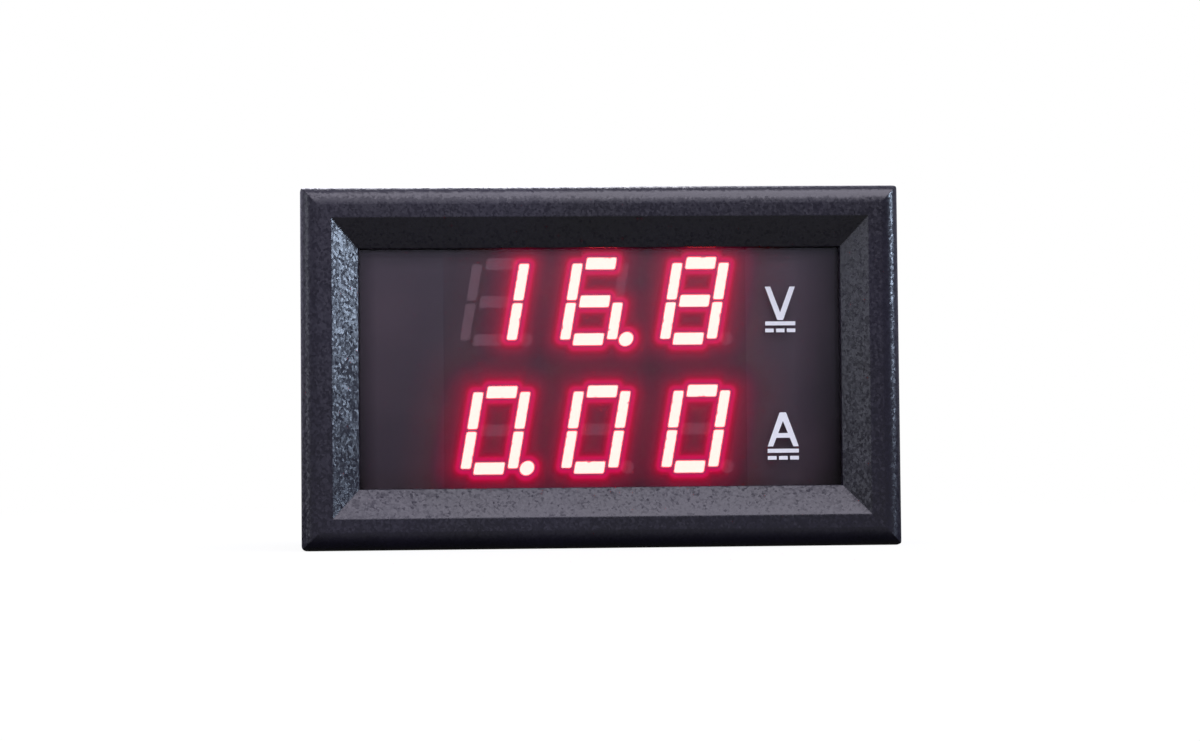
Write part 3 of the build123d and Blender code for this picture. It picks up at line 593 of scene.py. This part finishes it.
# %% Outlines of the line of direct current and of a letter's leg
def direct_current(middle, top, width):
    """Outlines of the solid line and the three dashes under it."""
    line, dash, gap, step = 0.32, 0.3, 0.19, 0.58
    left = middle - width / 2
    length = (width - 2 * gap) / 3
    rows = [(left, top, width, line)]
    rows += [(left + i * (length + gap), top - step, length, dash) for i in range(3)]
    return [[(x, z), (x + w, z), (x + w, z - h), (x, z - h)] for x, z, w, h in rows]


def leg(middle, side, start, end, crotch, half, flat, stops=()):
    """Outline of a letter's slanted leg, from its foot at z = start to its point at z = end.
    Stops are heights on the inner edge where a crossbar's corners meet it."""
    inner = half - INK_STROKE * SIDE_CUT
    points = [(half, start), (inner, start)]
    points += [(inner * (z - crotch) / (start - crotch), z) for z in stops]
    points += [(0, crotch), (0, end), (flat, end)]
    return [(middle + side * x, z) for x, z in points]


print("corners of a plain leg", len(leg(0, 1, 0, 3, 1, 1, 0.2)))

# %% V and A
V_MIDDLE, V_TOP, V_BOTTOM, V_WIDTH = 14.6, 6.455, 3.745, 2.45
V_CROTCH, V_POINT, V_LINE = V_BOTTOM + 0.62, 0.24, 3.63
volt_outlines = [
    leg(V_MIDDLE, side, V_TOP, V_BOTTOM, V_CROTCH, V_WIDTH / 2, V_POINT) for side in (-1, 1)
] + direct_current(V_MIDDLE, V_LINE, V_WIDTH)
volt_sign = thin_layer("volt_sign", volt_outlines, WINDOW_Y, -INK, white_ink)

A_MIDDLE, A_TOP, A_BOTTOM, A_WIDTH = 14.72, -3.745, -6.495, 2.53
A_CROTCH, A_POINT, A_LINE = A_TOP - 0.7, 0.26, -6.69
CROSSBAR = (-5.8, -5.42)  # mm, its lower and upper edge
legs = [
    leg(A_MIDDLE, side, A_BOTTOM, A_TOP, A_CROTCH, A_WIDTH / 2, A_POINT, CROSSBAR)
    for side in (-1, 1)
]
crossbar = [legs[0][2], legs[0][3], legs[1][3], legs[1][2]]
amp_outlines = legs + [crossbar] + direct_current(A_MIDDLE, A_LINE, A_WIDTH)
amp_sign = thin_layer("amp_sign", amp_outlines, WINDOW_Y, -INK, white_ink)
print("signs printed", volt_sign.name, amp_sign.name)

# %% [markdown]
# ## Parts on the board
# The rest are everyday electronic materials. Each gets its own base colour, roughness and a small
# relief of the right size: moulded epoxy is finely pitted, nylon is waxy, tin is softly uneven.
# One function makes such a plain finish, since they differ only in numbers.

# %% One function for the plain finishes
def plain_finish(name, dark, light, roughness, metallic=0.0, grain_mm=0.2, depth=0.02, bump=0.3):
    """A material with two close tones in soft patches, four grains wide, and a small relief."""
    made, tree = new_material(name)
    place = add(tree, "TexCoord")
    patch = add(tree, "TexNoise", {
        "Vector": place.outputs["Object"], "Scale": 1 / (4 * grain_mm * MM)})
    fine = add(tree, "TexNoise", {
        "Vector": place.outputs["Object"], "Scale": 1 / (grain_mm * MM)})
    tone = add(tree, "ValToRGB", {"Fac": patch.outputs["Fac"]},
               stops=((0.35, colour(dark)), (0.65, colour(light))))
    relief = add(tree, "Bump", {
        "Height": fine.outputs["Fac"], "Strength": bump, "Distance": depth * MM})
    shader = add(tree, "BsdfPrincipled", {
        "Base Color": tone.outputs["Color"],
        "Roughness": roughness,
        "Metallic": metallic,
        "Normal": relief.outputs["Normal"],
    })
    finish_material(tree, shader.outputs["BSDF"])
    return made


print("materials so far", len(bpy.data.materials))

# %% Board, plastics, ceramics and metals
finishes = {
    "housing_plastic": housing_abs,
    "window_acrylic": window_acrylic,
    "display_black": reflector,
    "display_resin": milky_epoxy,
    # Woven glass and epoxy without a mask, pale and satin.
    "substrate_board": plain_finish("glass_epoxy_bare", "B9AC7E", "C8BC90", 0.5),
    # Gallium arsenide chips, small and glassy.
    "die_red": plain_finish("gallium_arsenide_chip", "8A2A22", "A03A30", 0.2),
    # Brass pins with a thin bright coat of tin.
    "tinned_pin": plain_finish("brass_tinned", "C9C8C6", "DAD9D6", 0.25, 1.0, 0.5, 0.01),
    # Glass and epoxy under a glossy green lacquer.
    "board_green": plain_finish("solder_mask_green", "0E4A25", "12562C", 0.3, 0.0, 0.5, 0.012),
    # Tin alloy that froze bright, with faint ripples.
    "solder": plain_finish("tin_alloy_solder", "C6C7C8", "DEDFE0", 0.2, 1.0, 0.35, 0.03),
    # Undyed nylon, waxy and slightly yellow.
    "power_nylon": plain_finish("nylon_natural_warm", "DDD6C2", "E6DFCC", 0.45, 0.0, 0.3),
    "signal_nylon": plain_finish("nylon_natural_white", "E2DFD6", "EBE8DF", 0.42, 0.0, 0.3),
    # A copper and manganese wire, drawn and dull brown.
    "shunt_alloy": plain_finish("manganin_drawn", "A9795A", "B98A69", 0.32, 1.0, 0.25),
    # Fired alumina tinted dark grey.
    "trimmer_ceramic": plain_finish("alumina_dark", "2E2F33", "38393E", 0.55, 0.0, 0.12),
    # Pressed steel with a warm bright plating.
    "trimmer_metal": plain_finish("steel_nickel_plated", "C2C0BC", "D2D0CC", 0.28, 1.0, 0.2),
    # Epoxy filled with silica, finely pitted by its mould.
    "chip_black": plain_finish(
        "epoxy_moulding_black", "1F1F22", "29292C", 0.6, 0.0, 0.06, 0.02, 0.5),
    # Copper under a smooth grey coat of tin.
    "lead_tin": plain_finish("copper_tinned", "C4C5C6", "D4D5D6", 0.3, 1.0, 0.2),
    # Black glass over the resistors, and bare fired ceramic on the capacitors.
    "resistor_black": plain_finish("resistor_glaze_black", "15161A", "1E1F24", 0.25),
    "capacitor_tan": plain_finish("titanate_ceramic_tan", "9A7A55", "AA8A62", 0.5),
    # The capacitor's drawn can, and the moulded foot it stands on.
    "can_aluminium": plain_finish("aluminium_drawn", "CFD0D2", "DDDEE0", 0.28, 1.0, 0.4, 0.01),
    "foot_black": plain_finish("polyester_moulded_black", "1C1C1E", "262628", 0.5),
}
for part in frame["record"]["subparts"]:
    shell = nodes[part["node"]]
    shell.data.materials.clear()
    shell.data.materials.append(finishes[part["material_slot"]])
print("finishes", len(finishes), "on", len(nodes), "nodes")

# %% [markdown]
# ## Solder
# The CAD joints are plain six-sided mounds. Real solder climbs a pin in a smooth hollow curve.
# The curve's profile is drawn once and spun round the pin's axis for each joint, at the place
# and size of the CAD mound, which the new piece then stands for.

# %% Where the CAD mounds are
JOIN = 0.001  # mm within which two corners are one
mounds = bmesh.new()
mounds.from_mesh(nodes["solder_joints"].data)
bmesh.ops.scale(mounds, vec=(1 / MM, 1 / MM, 1 / MM), verts=mounds.verts)
bmesh.ops.remove_doubles(mounds, verts=mounds.verts, dist=JOIN)
places, seen = [], set()
for start in mounds.verts:
    if start in seen:
        continue
    group, queue = [], [start]
    seen.add(start)
    while queue:
        v = queue.pop()
        group.append(v.co.copy())
        for edge in v.link_edges:
            other = edge.other_vert(v)
            if other not in seen:
                seen.add(other)
                queue.append(other)
    low = Vector(min(c[i] for c in group) for i in range(3))
    high = Vector(max(c[i] for c in group) for i in range(3))
    places.append((low, high))
mounds.free()
print("mounds", len(places))

# %% Solder fillets spun round each pin
BOARD_BACK = 9.3  # mm
FILLET_SIDES = 20
# The curve from the joint's rim to its top: shares of its radius and of its height.
profile_shares = [
    (1.0, 0.0), (0.97, 0.12), (0.8, 0.28), (0.66, 0.55), (0.58, 0.85), (0.52, 1.0), (0.0, 1.02),
]
fillets = bmesh.new()
for low, high in places:
    middle, radius, height = (low + high) / 2, (high.x - low.x) / 2, high.y - low.y
    on_back = middle.y > BOARD_BACK - 0.1
    root, rise = (low.y, height) if on_back else (high.y, -height)
    line = [
        fillets.verts.new((middle.x + r * radius, root + t * rise, middle.z))
        for r, t in profile_shares
    ]
    edges = [fillets.edges.new(pair) for pair in zip(line, line[1:])]
    bmesh.ops.spin(
        fillets, geom=line + edges, cent=middle, axis=(0, 1, 0),
        angle=math.radians(360), steps=FILLET_SIDES, use_merge=True)
bmesh.ops.remove_doubles(fillets, verts=fillets.verts, dist=2 * JOIN)
rims = [e for e in fillets.edges if e.is_boundary]
bmesh.ops.edgeloop_fill(fillets, edges=rims)
bmesh.ops.recalc_face_normals(fillets, faces=fillets.faces)
solder = new_piece("solder_fillets", fillets, finishes["solder"], smooth=50)
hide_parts("solder_joints")
print("solder joints", len(places), "with", len(solder.data.polygons), "faces")

# %% [markdown]
# ## Print and tracks on the board
# The board's copper tracks lie under the green lacquer and show as slightly lighter, raised
# lines. White print on top shows where each part belongs. Both could be a bump pattern, but
# routes that really lead from pin to pin look right only when they are drawn as shapes, so each
# is a thin layer with its own outline. The print carries only strokes and the general signs
# V, A, plus and minus.

# %% Outlines of lines, frames and blocks
STROKE = 0.16  # mm, the width of the print's strokes


def ribbon(points, width):
    """Outlines of a line of one width through (x, z) points, mitred at its bends."""
    path = [Vector(p) for p in points]
    sides = []
    for i, here in enumerate(path):
        after = (path[min(i + 1, len(path) - 1)] - here).normalized()
        before = (here - path[max(i - 1, 0)]).normalized()
        along = (before + after).normalized()
        reach = width / 2 / along.dot(after if i == 0 else before)
        across = Vector((-along.y, along.x)) * reach
        sides.append((tuple(here + across), tuple(here - across)))
    return [[a[0], a[1], b[1], b[0]] for a, b in zip(sides, sides[1:])]


def block_lines(x0, z0, x1, z1):
    """The outline of one filled rectangle."""
    return [[(x0, z0), (x1, z0), (x1, z1), (x0, z1)]]


def box_lines(x0, z0, x1, z1):
    """Outlines of a rectangle's four sides, mitred at the corners."""
    outer = block_lines(x0, z0, x1, z1)[0]
    inner = block_lines(x0 + STROKE, z0 + STROKE, x1 - STROKE, z1 - STROKE)[0]
    return [[outer[i], outer[(i + 1) % 4], inner[(i + 1) % 4], inner[i]] for i in range(4)]


print("a print stroke is", STROKE, "mm wide")

# %% Copper tracks
TRACK_RISE = 0.015  # mm that a track stands out under the lacquer
TRACK = 0.26  # mm, the width of a thin track
PINS, PIN_PITCH = 6, 2.54  # pins in one row of a display

# Lacquer over copper, a little lighter and yellower than over bare board.
masked_copper = plain_finish(
    "solder_mask_over_copper", "1A6234", "20703D", 0.28, 0.0, 0.5, 0.012)

# Corners of each route in mm, as (x, z), from pin to pin.
thin_routes = [
    [(-12.6, 1.9), (-11.2, 3.25), (-7.0, 3.25), (-6.3, 3.9)],
    [(-12.6, 8.9), (-11.5, 7.75), (-6.3, 7.75)],
    [(-0.3, 7.72), (0.4, 8.4), (0.4, 9.2), (7.2, 9.2), (8.0, 8.4), (8.0, 7.4)],
    [(-0.3, 5.2), (0.6, 4.3), (0.6, 3.3), (1.8, 3.3)],
    [(12.1, 2.03), (10.4, 2.03), (9.9, 1.53), (9.5, 1.53)],
    [(12.1, 0.73), (11.6, 0.73), (10.9, 0.03), (10.9, -0.6), (10.4, -1.1), (9.5, -1.1)],
    [(12.1, 3.98), (9.5, 3.98)],
    [(12.1, 5.28), (9.5, 5.28)],
    [(12.1, 5.93), (10.9, 7.1), (9.5, 7.1)],
    [(18.3, 0.73), (18.9, 0.1), (18.9, -4.7)],
    [(11.31, 8.6), (11.31, 7.4), (12.1, 6.6)],
    [(17.81, 8.6), (17.81, 7.2), (18.3, 6.6)],
    [(19.11, 8.6), (19.11, 3.9), (18.4, 3.2)],
    [(11.31, 10.0), (11.31, 10.6), (19.11, 10.6), (19.11, 10.0)],
    [(-3.94, -2.8), (-3.94, -2.1), (-4.19, -1.8)],
    [(2.48, -2.8), (2.48, -2.2), (3.2, -1.5)],
    [(-4.84, -7.2), (-4.19, -8.0)],
    [(3.38, -7.2), (3.43, -8.0)],
    [(0.89, -1.8), (-0.75, -3.4), (-0.75, -6.6), (0.89, -8.2)],
    [(-1.65, -1.8), (-1.3, -2.2), (-1.3, -7.8), (-1.65, -8.2)],
    [(-6.73, -1.8), (-6.73, -8.2)],
    [(5.97, -1.8), (5.97, -8.2)],
]
# Straight ones between the two displays' pins, and from the resistors to the controller.
pin_columns = [DISPLAY_X + PIN_PITCH * (i - (PINS - 1) / 2) for i in range(PINS)]
thin_routes += [[(x, 1.0), (x, -0.6)] for x in pin_columns]
thin_routes += [[(x, 8.6), (x, 6.8)] for x in (13.91, 15.21, 16.51)]
# The load current's wide tracks, from the power socket, and the common return.
wide_routes = [
    ([(-13.77, -2.2), (-13.77, 0.4)], 1.9),
    ([(-17.7, -2.2), (-17.7, 6.2)], 1.7),
    ([(-11.8, -10.3), (10.4, -10.3)], 0.9),
]
tracks = [quad for route in thin_routes for quad in ribbon(route, TRACK)]
tracks += [quad for route, width in wide_routes for quad in ribbon(route, width)]
copper = thin_layer("board_tracks", tracks, BOARD_BACK, TRACK_RISE, masked_copper)
print("tracks", len(thin_routes) + len(wide_routes), "with", len(copper.data.polygons), "faces")

# %% White print on the board
PRINT_RISE = 0.03  # mm, the print on top of the lacquer and the tracks
SIGN_STROKE = 0.2  # mm, the stroke of the letters V and A

# Frames round the power socket, the signal socket and the shunt.
marks = box_lines(-19.95, -10.5, -11.45, -1.9) + box_lines(10.2, -10.85, 20.65, -4.5)
marks += box_lines(-15.1, -0.15, -12.45, 11.0)
# Single strokes beside the chips, the diode, the trimmers and the can.
for x0, z0, x1, z1 in (
    (-5.1, 8.05, -1.2, 8.05 + STROKE), (-5.1, 2.6, -1.2, 2.6 + STROKE),
    (13.0, 6.9, 17.4, 6.9 + STROKE), (13.0, -0.2, 17.4, -0.2 + STROKE),
    (1.0, 4.2, 1.0 + STROKE, 6.65), (5.96, 4.2, 5.96 + STROKE, 6.65),
    (13.1, -3.95, 17.3, -3.95 + STROKE), (13.1, -0.86, 17.3, -0.86 + STROKE),
    (12.1, -3.0, 12.1 + STROKE, -1.6),
    (-6.1, -6.8, -6.1 + STROKE, -3.2), (-1.94, -6.8, -1.94 + STROKE, -3.2),
    (0.32, -6.8, 0.32 + STROKE, -3.2), (4.48, -6.8, 4.48 + STROKE, -3.2),
    (-20.3, 10.6, -15.8, 10.6 + STROKE), (-20.3, 5.74, -15.8, 5.74 + STROKE),
):
    marks += block_lines(x0, z0, x1, z1)
# A plus and a minus over the power socket, and the letters V and A beside the trimmers.
marks += block_lines(-18.2, -1.28, -17.2, -1.1) + block_lines(-14.2, -1.28, -13.2, -1.1)
marks += block_lines(-17.79, -1.1, -17.61, -0.69) + block_lines(-17.79, -1.69, -17.61, -1.28)
marks += ribbon([(-9.2, -4.2), (-8.5, -5.8), (-7.8, -4.2)], SIGN_STROKE)
marks += ribbon([(6.9, -5.8), (7.6, -4.2), (8.3, -5.8)], SIGN_STROKE)
marks += block_lines(7.25, -5.35, 7.95, -5.18)
board_print = thin_layer("board_print", marks, BOARD_BACK, PRINT_RISE, white_ink)
print("print", len(marks), "strokes with", len(board_print.data.polygons), "faces")

# %% Dark ink on the can's negative side, and a pale stripe at the diode's cathode
CAN_MIDDLE, CAN_TOP, CAN_MARK = (-18.05, 8.25), 14.5, 1.7  # mm, CAN_MARK is the mark's radius
DIODE_TOP = 11.4  # mm
arc = [math.radians(a) for a in range(125, 236, 10)]
dark_ink = plain_finish("pad_print_black_ink", "1E1E22", "2A2A30", 0.5)
can_outline = [
    (CAN_MIDDLE[0] + CAN_MARK * math.cos(a), CAN_MIDDLE[1] + CAN_MARK * math.sin(a)) for a in arc
]
can_mark = thin_layer("can_mark", [can_outline], CAN_TOP, INK, dark_ink)
stripe = block_lines(13.3, -3.5, 13.85, -1.12)
diode_mark = thin_layer("diode_mark", stripe, DIODE_TOP, INK, white_ink)
print("marked", can_mark.name, diode_mark.name)

# %% [markdown]
# ## Studio
# The meter stands on its lower edge on a pale floor, and the camera sees white all round. Glossy
# faces see something else, a plain room: dim below eye level, brighter above it, and dim again on
# the right, so that the flat frame shades from top to bottom as in the photograph. A real room
# could be built from walls, but their light would fall on the meter too. Light Path nodes tell
# the rays apart instead, and each kind of ray gets its own picture of the floor and the world.

# %% Floor
FLOOR_Z = -14.5  # mm, the height of the meter's lower edge
FLOOR_RADIUS = 2.5  # m
ROOM_LOW = 0.14  # how bright the room in front looks in glossy parts, at and below eye level
FLOOR_GLOSS = 0.31  # how bright the floor right in front of the meter looks in them
FLOOR_GLOSS_BACK = 0.32  # what the floor far behind adds to that
UNDER_METER = 0.1  # share of it that is left where the meter shades the floor
CONTACT_WHITE = 0.9  # share of pure white in the floor near the meter; the rest is lit paper

floor_tool = bmesh.new()
bmesh.ops.create_circle(floor_tool, cap_ends=True, segments=96, radius=FLOOR_RADIUS)
bmesh.ops.translate(floor_tool, vec=(0, 0, FLOOR_Z * MM), verts=floor_tool.verts)
floor_mesh = bpy.data.meshes.new("floor")
floor_tool.to_mesh(floor_mesh)
floor_tool.free()
floor = bpy.data.objects.new("floor", floor_mesh)
bpy.context.scene.collection.objects.link(floor)
print("floor at", FLOOR_Z, "mm")

# %% Paper that looks white to the camera and dimmer in the gloss
floor_paint, tree = new_material("paper_white_matte")
rays = add(tree, "LightPath")
place = add(tree, "TexCoord")
parts = add(tree, "SeparateXYZ", {"Vector": place.outputs["Object"]})
# Distances in these ranges are in metres along Y, from the frame's back face.
ahead = add(tree, "MapRange", {
    "Value": parts.outputs["Y"], "From Min": -0.25, "From Max": -0.03,
    "To Min": ROOM_LOW, "To Max": FLOOR_GLOSS})
behind = add(tree, "MapRange", {
    "Value": parts.outputs["Y"], "From Min": 0.02, "From Max": 0.3,
    "To Min": 0.0, "To Max": FLOOR_GLOSS_BACK})
beneath = add(tree, "MapRange", {
    "Value": parts.outputs["Y"], "From Min": -0.006, "From Max": -0.003,
    "To Min": 1.0, "To Max": UNDER_METER})
shaded = add(tree, "Math", {0: ahead.outputs["Result"], 1: beneath.outputs["Result"]},
             operation="MULTIPLY")
gloss_level = add(tree, "Math", {0: shaded.outputs[0], 1: behind.outputs["Result"]})
tone = add(tree, "Mix", {
    "Factor": rays.outputs["Is Camera Ray"],
    6: colour("77777A"),
    7: colour("DDDDE0"),
}, data_type="RGBA")
paper = add(tree, "BsdfDiffuse", {"Color": tone.outputs[2]})
white = add(tree, "Emission", {"Color": (1, 1, 1, 1), "Strength": 1.0})
mirrored = add(tree, "Emission", {"Color": (1, 1, 1, 1), "Strength": gloss_level.outputs[0]})
# The shadow fades out between 0.06 and 0.2 m from the meter.
spread = add(tree, "VectorMath", {0: place.outputs["Object"]}, operation="LENGTH")
whiteness = add(tree, "MapRange", {
    "Value": spread.outputs["Value"], "From Min": 0.06, "From Max": 0.2,
    "To Min": CONTACT_WHITE, "To Max": 1.0})
share = add(tree, "Math", {0: rays.outputs["Is Camera Ray"], 1: whiteness.outputs["Result"]},
            operation="MULTIPLY")
seen = add(tree, "MixShader", {
    "Fac": share.outputs[0], 1: paper.outputs["BSDF"], 2: white.outputs["Emission"]})
glossy = add(tree, "Math", {
    0: rays.outputs["Is Glossy Ray"],
    1: rays.outputs["Is Transmission Ray"],
}, operation="MAXIMUM")
mixed = add(tree, "MixShader", {
    "Fac": glossy.outputs[0], 1: seen.outputs["Shader"], 2: mirrored.outputs["Emission"]})
finish_material(tree, mixed.outputs["Shader"])
floor.data.materials.append(floor_paint)
print("floor in the gloss", FLOOR_GLOSS)

# %% [markdown]
# The world is what a ray meets when it leaves the scene. Blender gives it the ray's direction,
# and two ramps turn that into a brightness by height and from left to right. Only glossy rays get
# this room. The camera gets white, except behind anything transparent such as the window, where
# it gets a nearly black world as painted shade in place of the housing's dark inside. Matt
# surfaces get even light.

# %% The room that glossy faces see
AMBIENT = 0.84  # light from all round on matt surfaces
# Painted shade: behind the window the camera sees a nearly black world in place of the housing's
# dark inside.
PAINTED_SHADE_INSIDE = 0.05  # what shows through the dark window and out at the open back
# Brightness by height, from 12 degrees below eye level to 53 above it, and from left to right.
room_levels = (
    (0.0, ROOM_LOW), (0.184, ROOM_LOW), (0.264, 0.88), (0.3, 1.2), (0.5, 1.3), (0.75, 0.8),
    (1.0, 0.5),
)
across_levels = ((0.0, 0.7), (0.25, 1.0), (0.63, 1.0), (0.68, 0.35), (1.0, 0.35))


def greys(levels):
    """Stops of a ramp whose colours are plain greys."""
    return [(position, (level, level, level, 1.0)) for position, level in levels]


world = bpy.data.worlds.new("white_studio")
bpy.context.scene.world = world
world.use_nodes = True
tree = world.node_tree
tree.nodes.clear()
rays = add(tree, "LightPath")
seen_or_mirrored = add(tree, "Math", {
    0: rays.outputs["Is Camera Ray"],
    1: rays.outputs["Is Glossy Ray"],
}, operation="MAXIMUM")
shown = add(tree, "Math", {
    0: seen_or_mirrored.outputs[0],
    1: rays.outputs["Is Transmission Ray"],
}, operation="MAXIMUM")
side = add(tree, "TexCoord")
direction = add(tree, "SeparateXYZ", {"Vector": side.outputs["Generated"]})
height = add(tree, "MapRange", {
    "Value": direction.outputs["Z"], "From Min": -0.2, "From Max": 0.8})
room = add(tree, "ValToRGB", {"Fac": height.outputs["Result"]}, stops=greys(room_levels))
sideways = add(tree, "MapRange", {
    "Value": direction.outputs["X"], "From Min": -0.5, "From Max": 0.5})
across = add(tree, "ValToRGB", {"Fac": sideways.outputs["Result"]}, stops=greys(across_levels))
ahead = add(tree, "Math", {0: room.outputs["Color"], 1: across.outputs["Color"]},
            operation="MULTIPLY")
print("levels of the room", len(room_levels), "up and", len(across_levels), "across")

# %% White to the camera, painted shade behind the window, even light on matt surfaces
through = add(tree, "Math", {0: rays.outputs["Transparent Depth"], 1: 0.5},
              operation="GREATER_THAN")
to_camera = add(tree, "MapRange", {
    "Value": through.outputs[0], "To Min": 1.0, "To Max": PAINTED_SHADE_INSIDE})
mirrored = add(tree, "Mix", {
    "Factor": rays.outputs["Is Camera Ray"],
    2: ahead.outputs[0],
    3: to_camera.outputs["Result"],
})
strength = add(tree, "Mix", {"Factor": shown.outputs[0], 2: AMBIENT, 3: mirrored.outputs[0]})
off_camera = add(tree, "Mix", {
    "Factor": rays.outputs["Is Glossy Ray"],
    6: colour("F2F6FC"),
    7: colour("E8E5FF"),
}, data_type="RGBA")
tint = add(tree, "Mix", {
    "Factor": rays.outputs["Is Camera Ray"],
    6: off_camera.outputs[2],
    7: colour("FFFFFF"),
}, data_type="RGBA")
sky = add(tree, "Background", {"Color": tint.outputs[2], "Strength": strength.outputs[0]})
output = add(tree, "OutputWorld")
tree.links.new(sky.outputs["Background"], output.inputs["Surface"])
print("ambient level", AMBIENT)

# %% [markdown]
# ## Lamps
# One large soft lamp hangs overhead, because the photograph's lower slope is bright and its upper
# slope nearly black. A weaker one hangs above the front, and small ones stand at both sides: the
# right one makes the left slope glitter. One more lights the back, which the photograph does not
# show. Area lamps are used, because their size sets how soft each shadow and highlight is.

# %% Lamps
# Name, place and aim in metres, size in metres, power in watts, and colour.
lamps = (
    ("overhead", (0.11, -0.155, 0.46), (0, 0, 0), (0.4, 0.42), 2.1, "F4EFFF"),
    ("above_front", (0.0, -0.4, 0.33), (0, 0, 0), (0.3, 0.3), 0.45, "F2EEFF"),
    ("behind", (-0.12, 0.42, 0.3), (0, 0.015, 0), (0.35, 0.3), 1.6, "F8F8FF"),
    ("right_side", (0.42, -0.06, 0.085), (0, 0, 0), (0.035, 0.05), 0.6, "D0E4FF"),
    ("left_side", (-0.42, -0.06, 0.06), (0, 0, 0), (0.12, 0.12), 0.09, "EEF4FF"),
)
for name, lamp_place, aim, size, power, lamp_tint in lamps:
    data = bpy.data.lights.new(name, "AREA")
    data.shape = "RECTANGLE"
    data.size, data.size_y = size
    data.energy = power
    data.color = colour(lamp_tint)[:3]
    lamp = bpy.data.objects.new(name, data)
    bpy.context.scene.collection.objects.link(lamp)
    lamp.location = lamp_place
    towards = Vector(aim) - Vector(lamp_place)
    lamp.rotation_euler = towards.to_track_quat("-Z", "Y").to_euler()
print("lamps", {lamp[0]: lamp[4] for lamp in lamps})

# %% [markdown]
# ## Camera
# The photograph was taken almost straight on, from slightly left and below. The camera's place
# and lens were worked out from the corners of the frame, the opening and the displays.

# %% Camera from the photograph's corners
DISTANCE = 200.0  # mm
YAW, PITCH, ROLL = (math.radians(a) for a in (3.02, 2.19, -0.55))
AIM = Vector((-0.053, 0.0, -0.236))  # mm
PIXELS_PER_MM = 12.381
IMAGE_WIDTH, SENSOR = 1200, 36.0  # pixels and mm

forward = Vector((
    math.sin(YAW) * math.cos(PITCH),
    math.cos(YAW) * math.cos(PITCH),
    math.sin(PITCH),
))
level = Vector((math.cos(YAW), -math.sin(YAW), 0))
upright = level.cross(forward)
right = level * math.cos(ROLL) + upright * math.sin(ROLL)
up = upright * math.cos(ROLL) - level * math.sin(ROLL)
camera_data = bpy.data.cameras.new("camera")
camera_data.sensor_width = SENSOR
camera_data.lens = PIXELS_PER_MM * DISTANCE / IMAGE_WIDTH * SENSOR
camera_data.clip_start, camera_data.clip_end = 0.01, 10
camera = bpy.data.objects.new("camera", camera_data)
bpy.context.scene.collection.objects.link(camera)
turn = Matrix((right, up, -forward)).transposed().to_4x4()
camera.matrix_world = Matrix.Translation((AIM - forward * DISTANCE) * MM) @ turn
bpy.context.scene.camera = camera
bpy.context.scene.view_settings.view_transform = "Standard"
print("lens", round(camera_data.lens, 2), "mm")
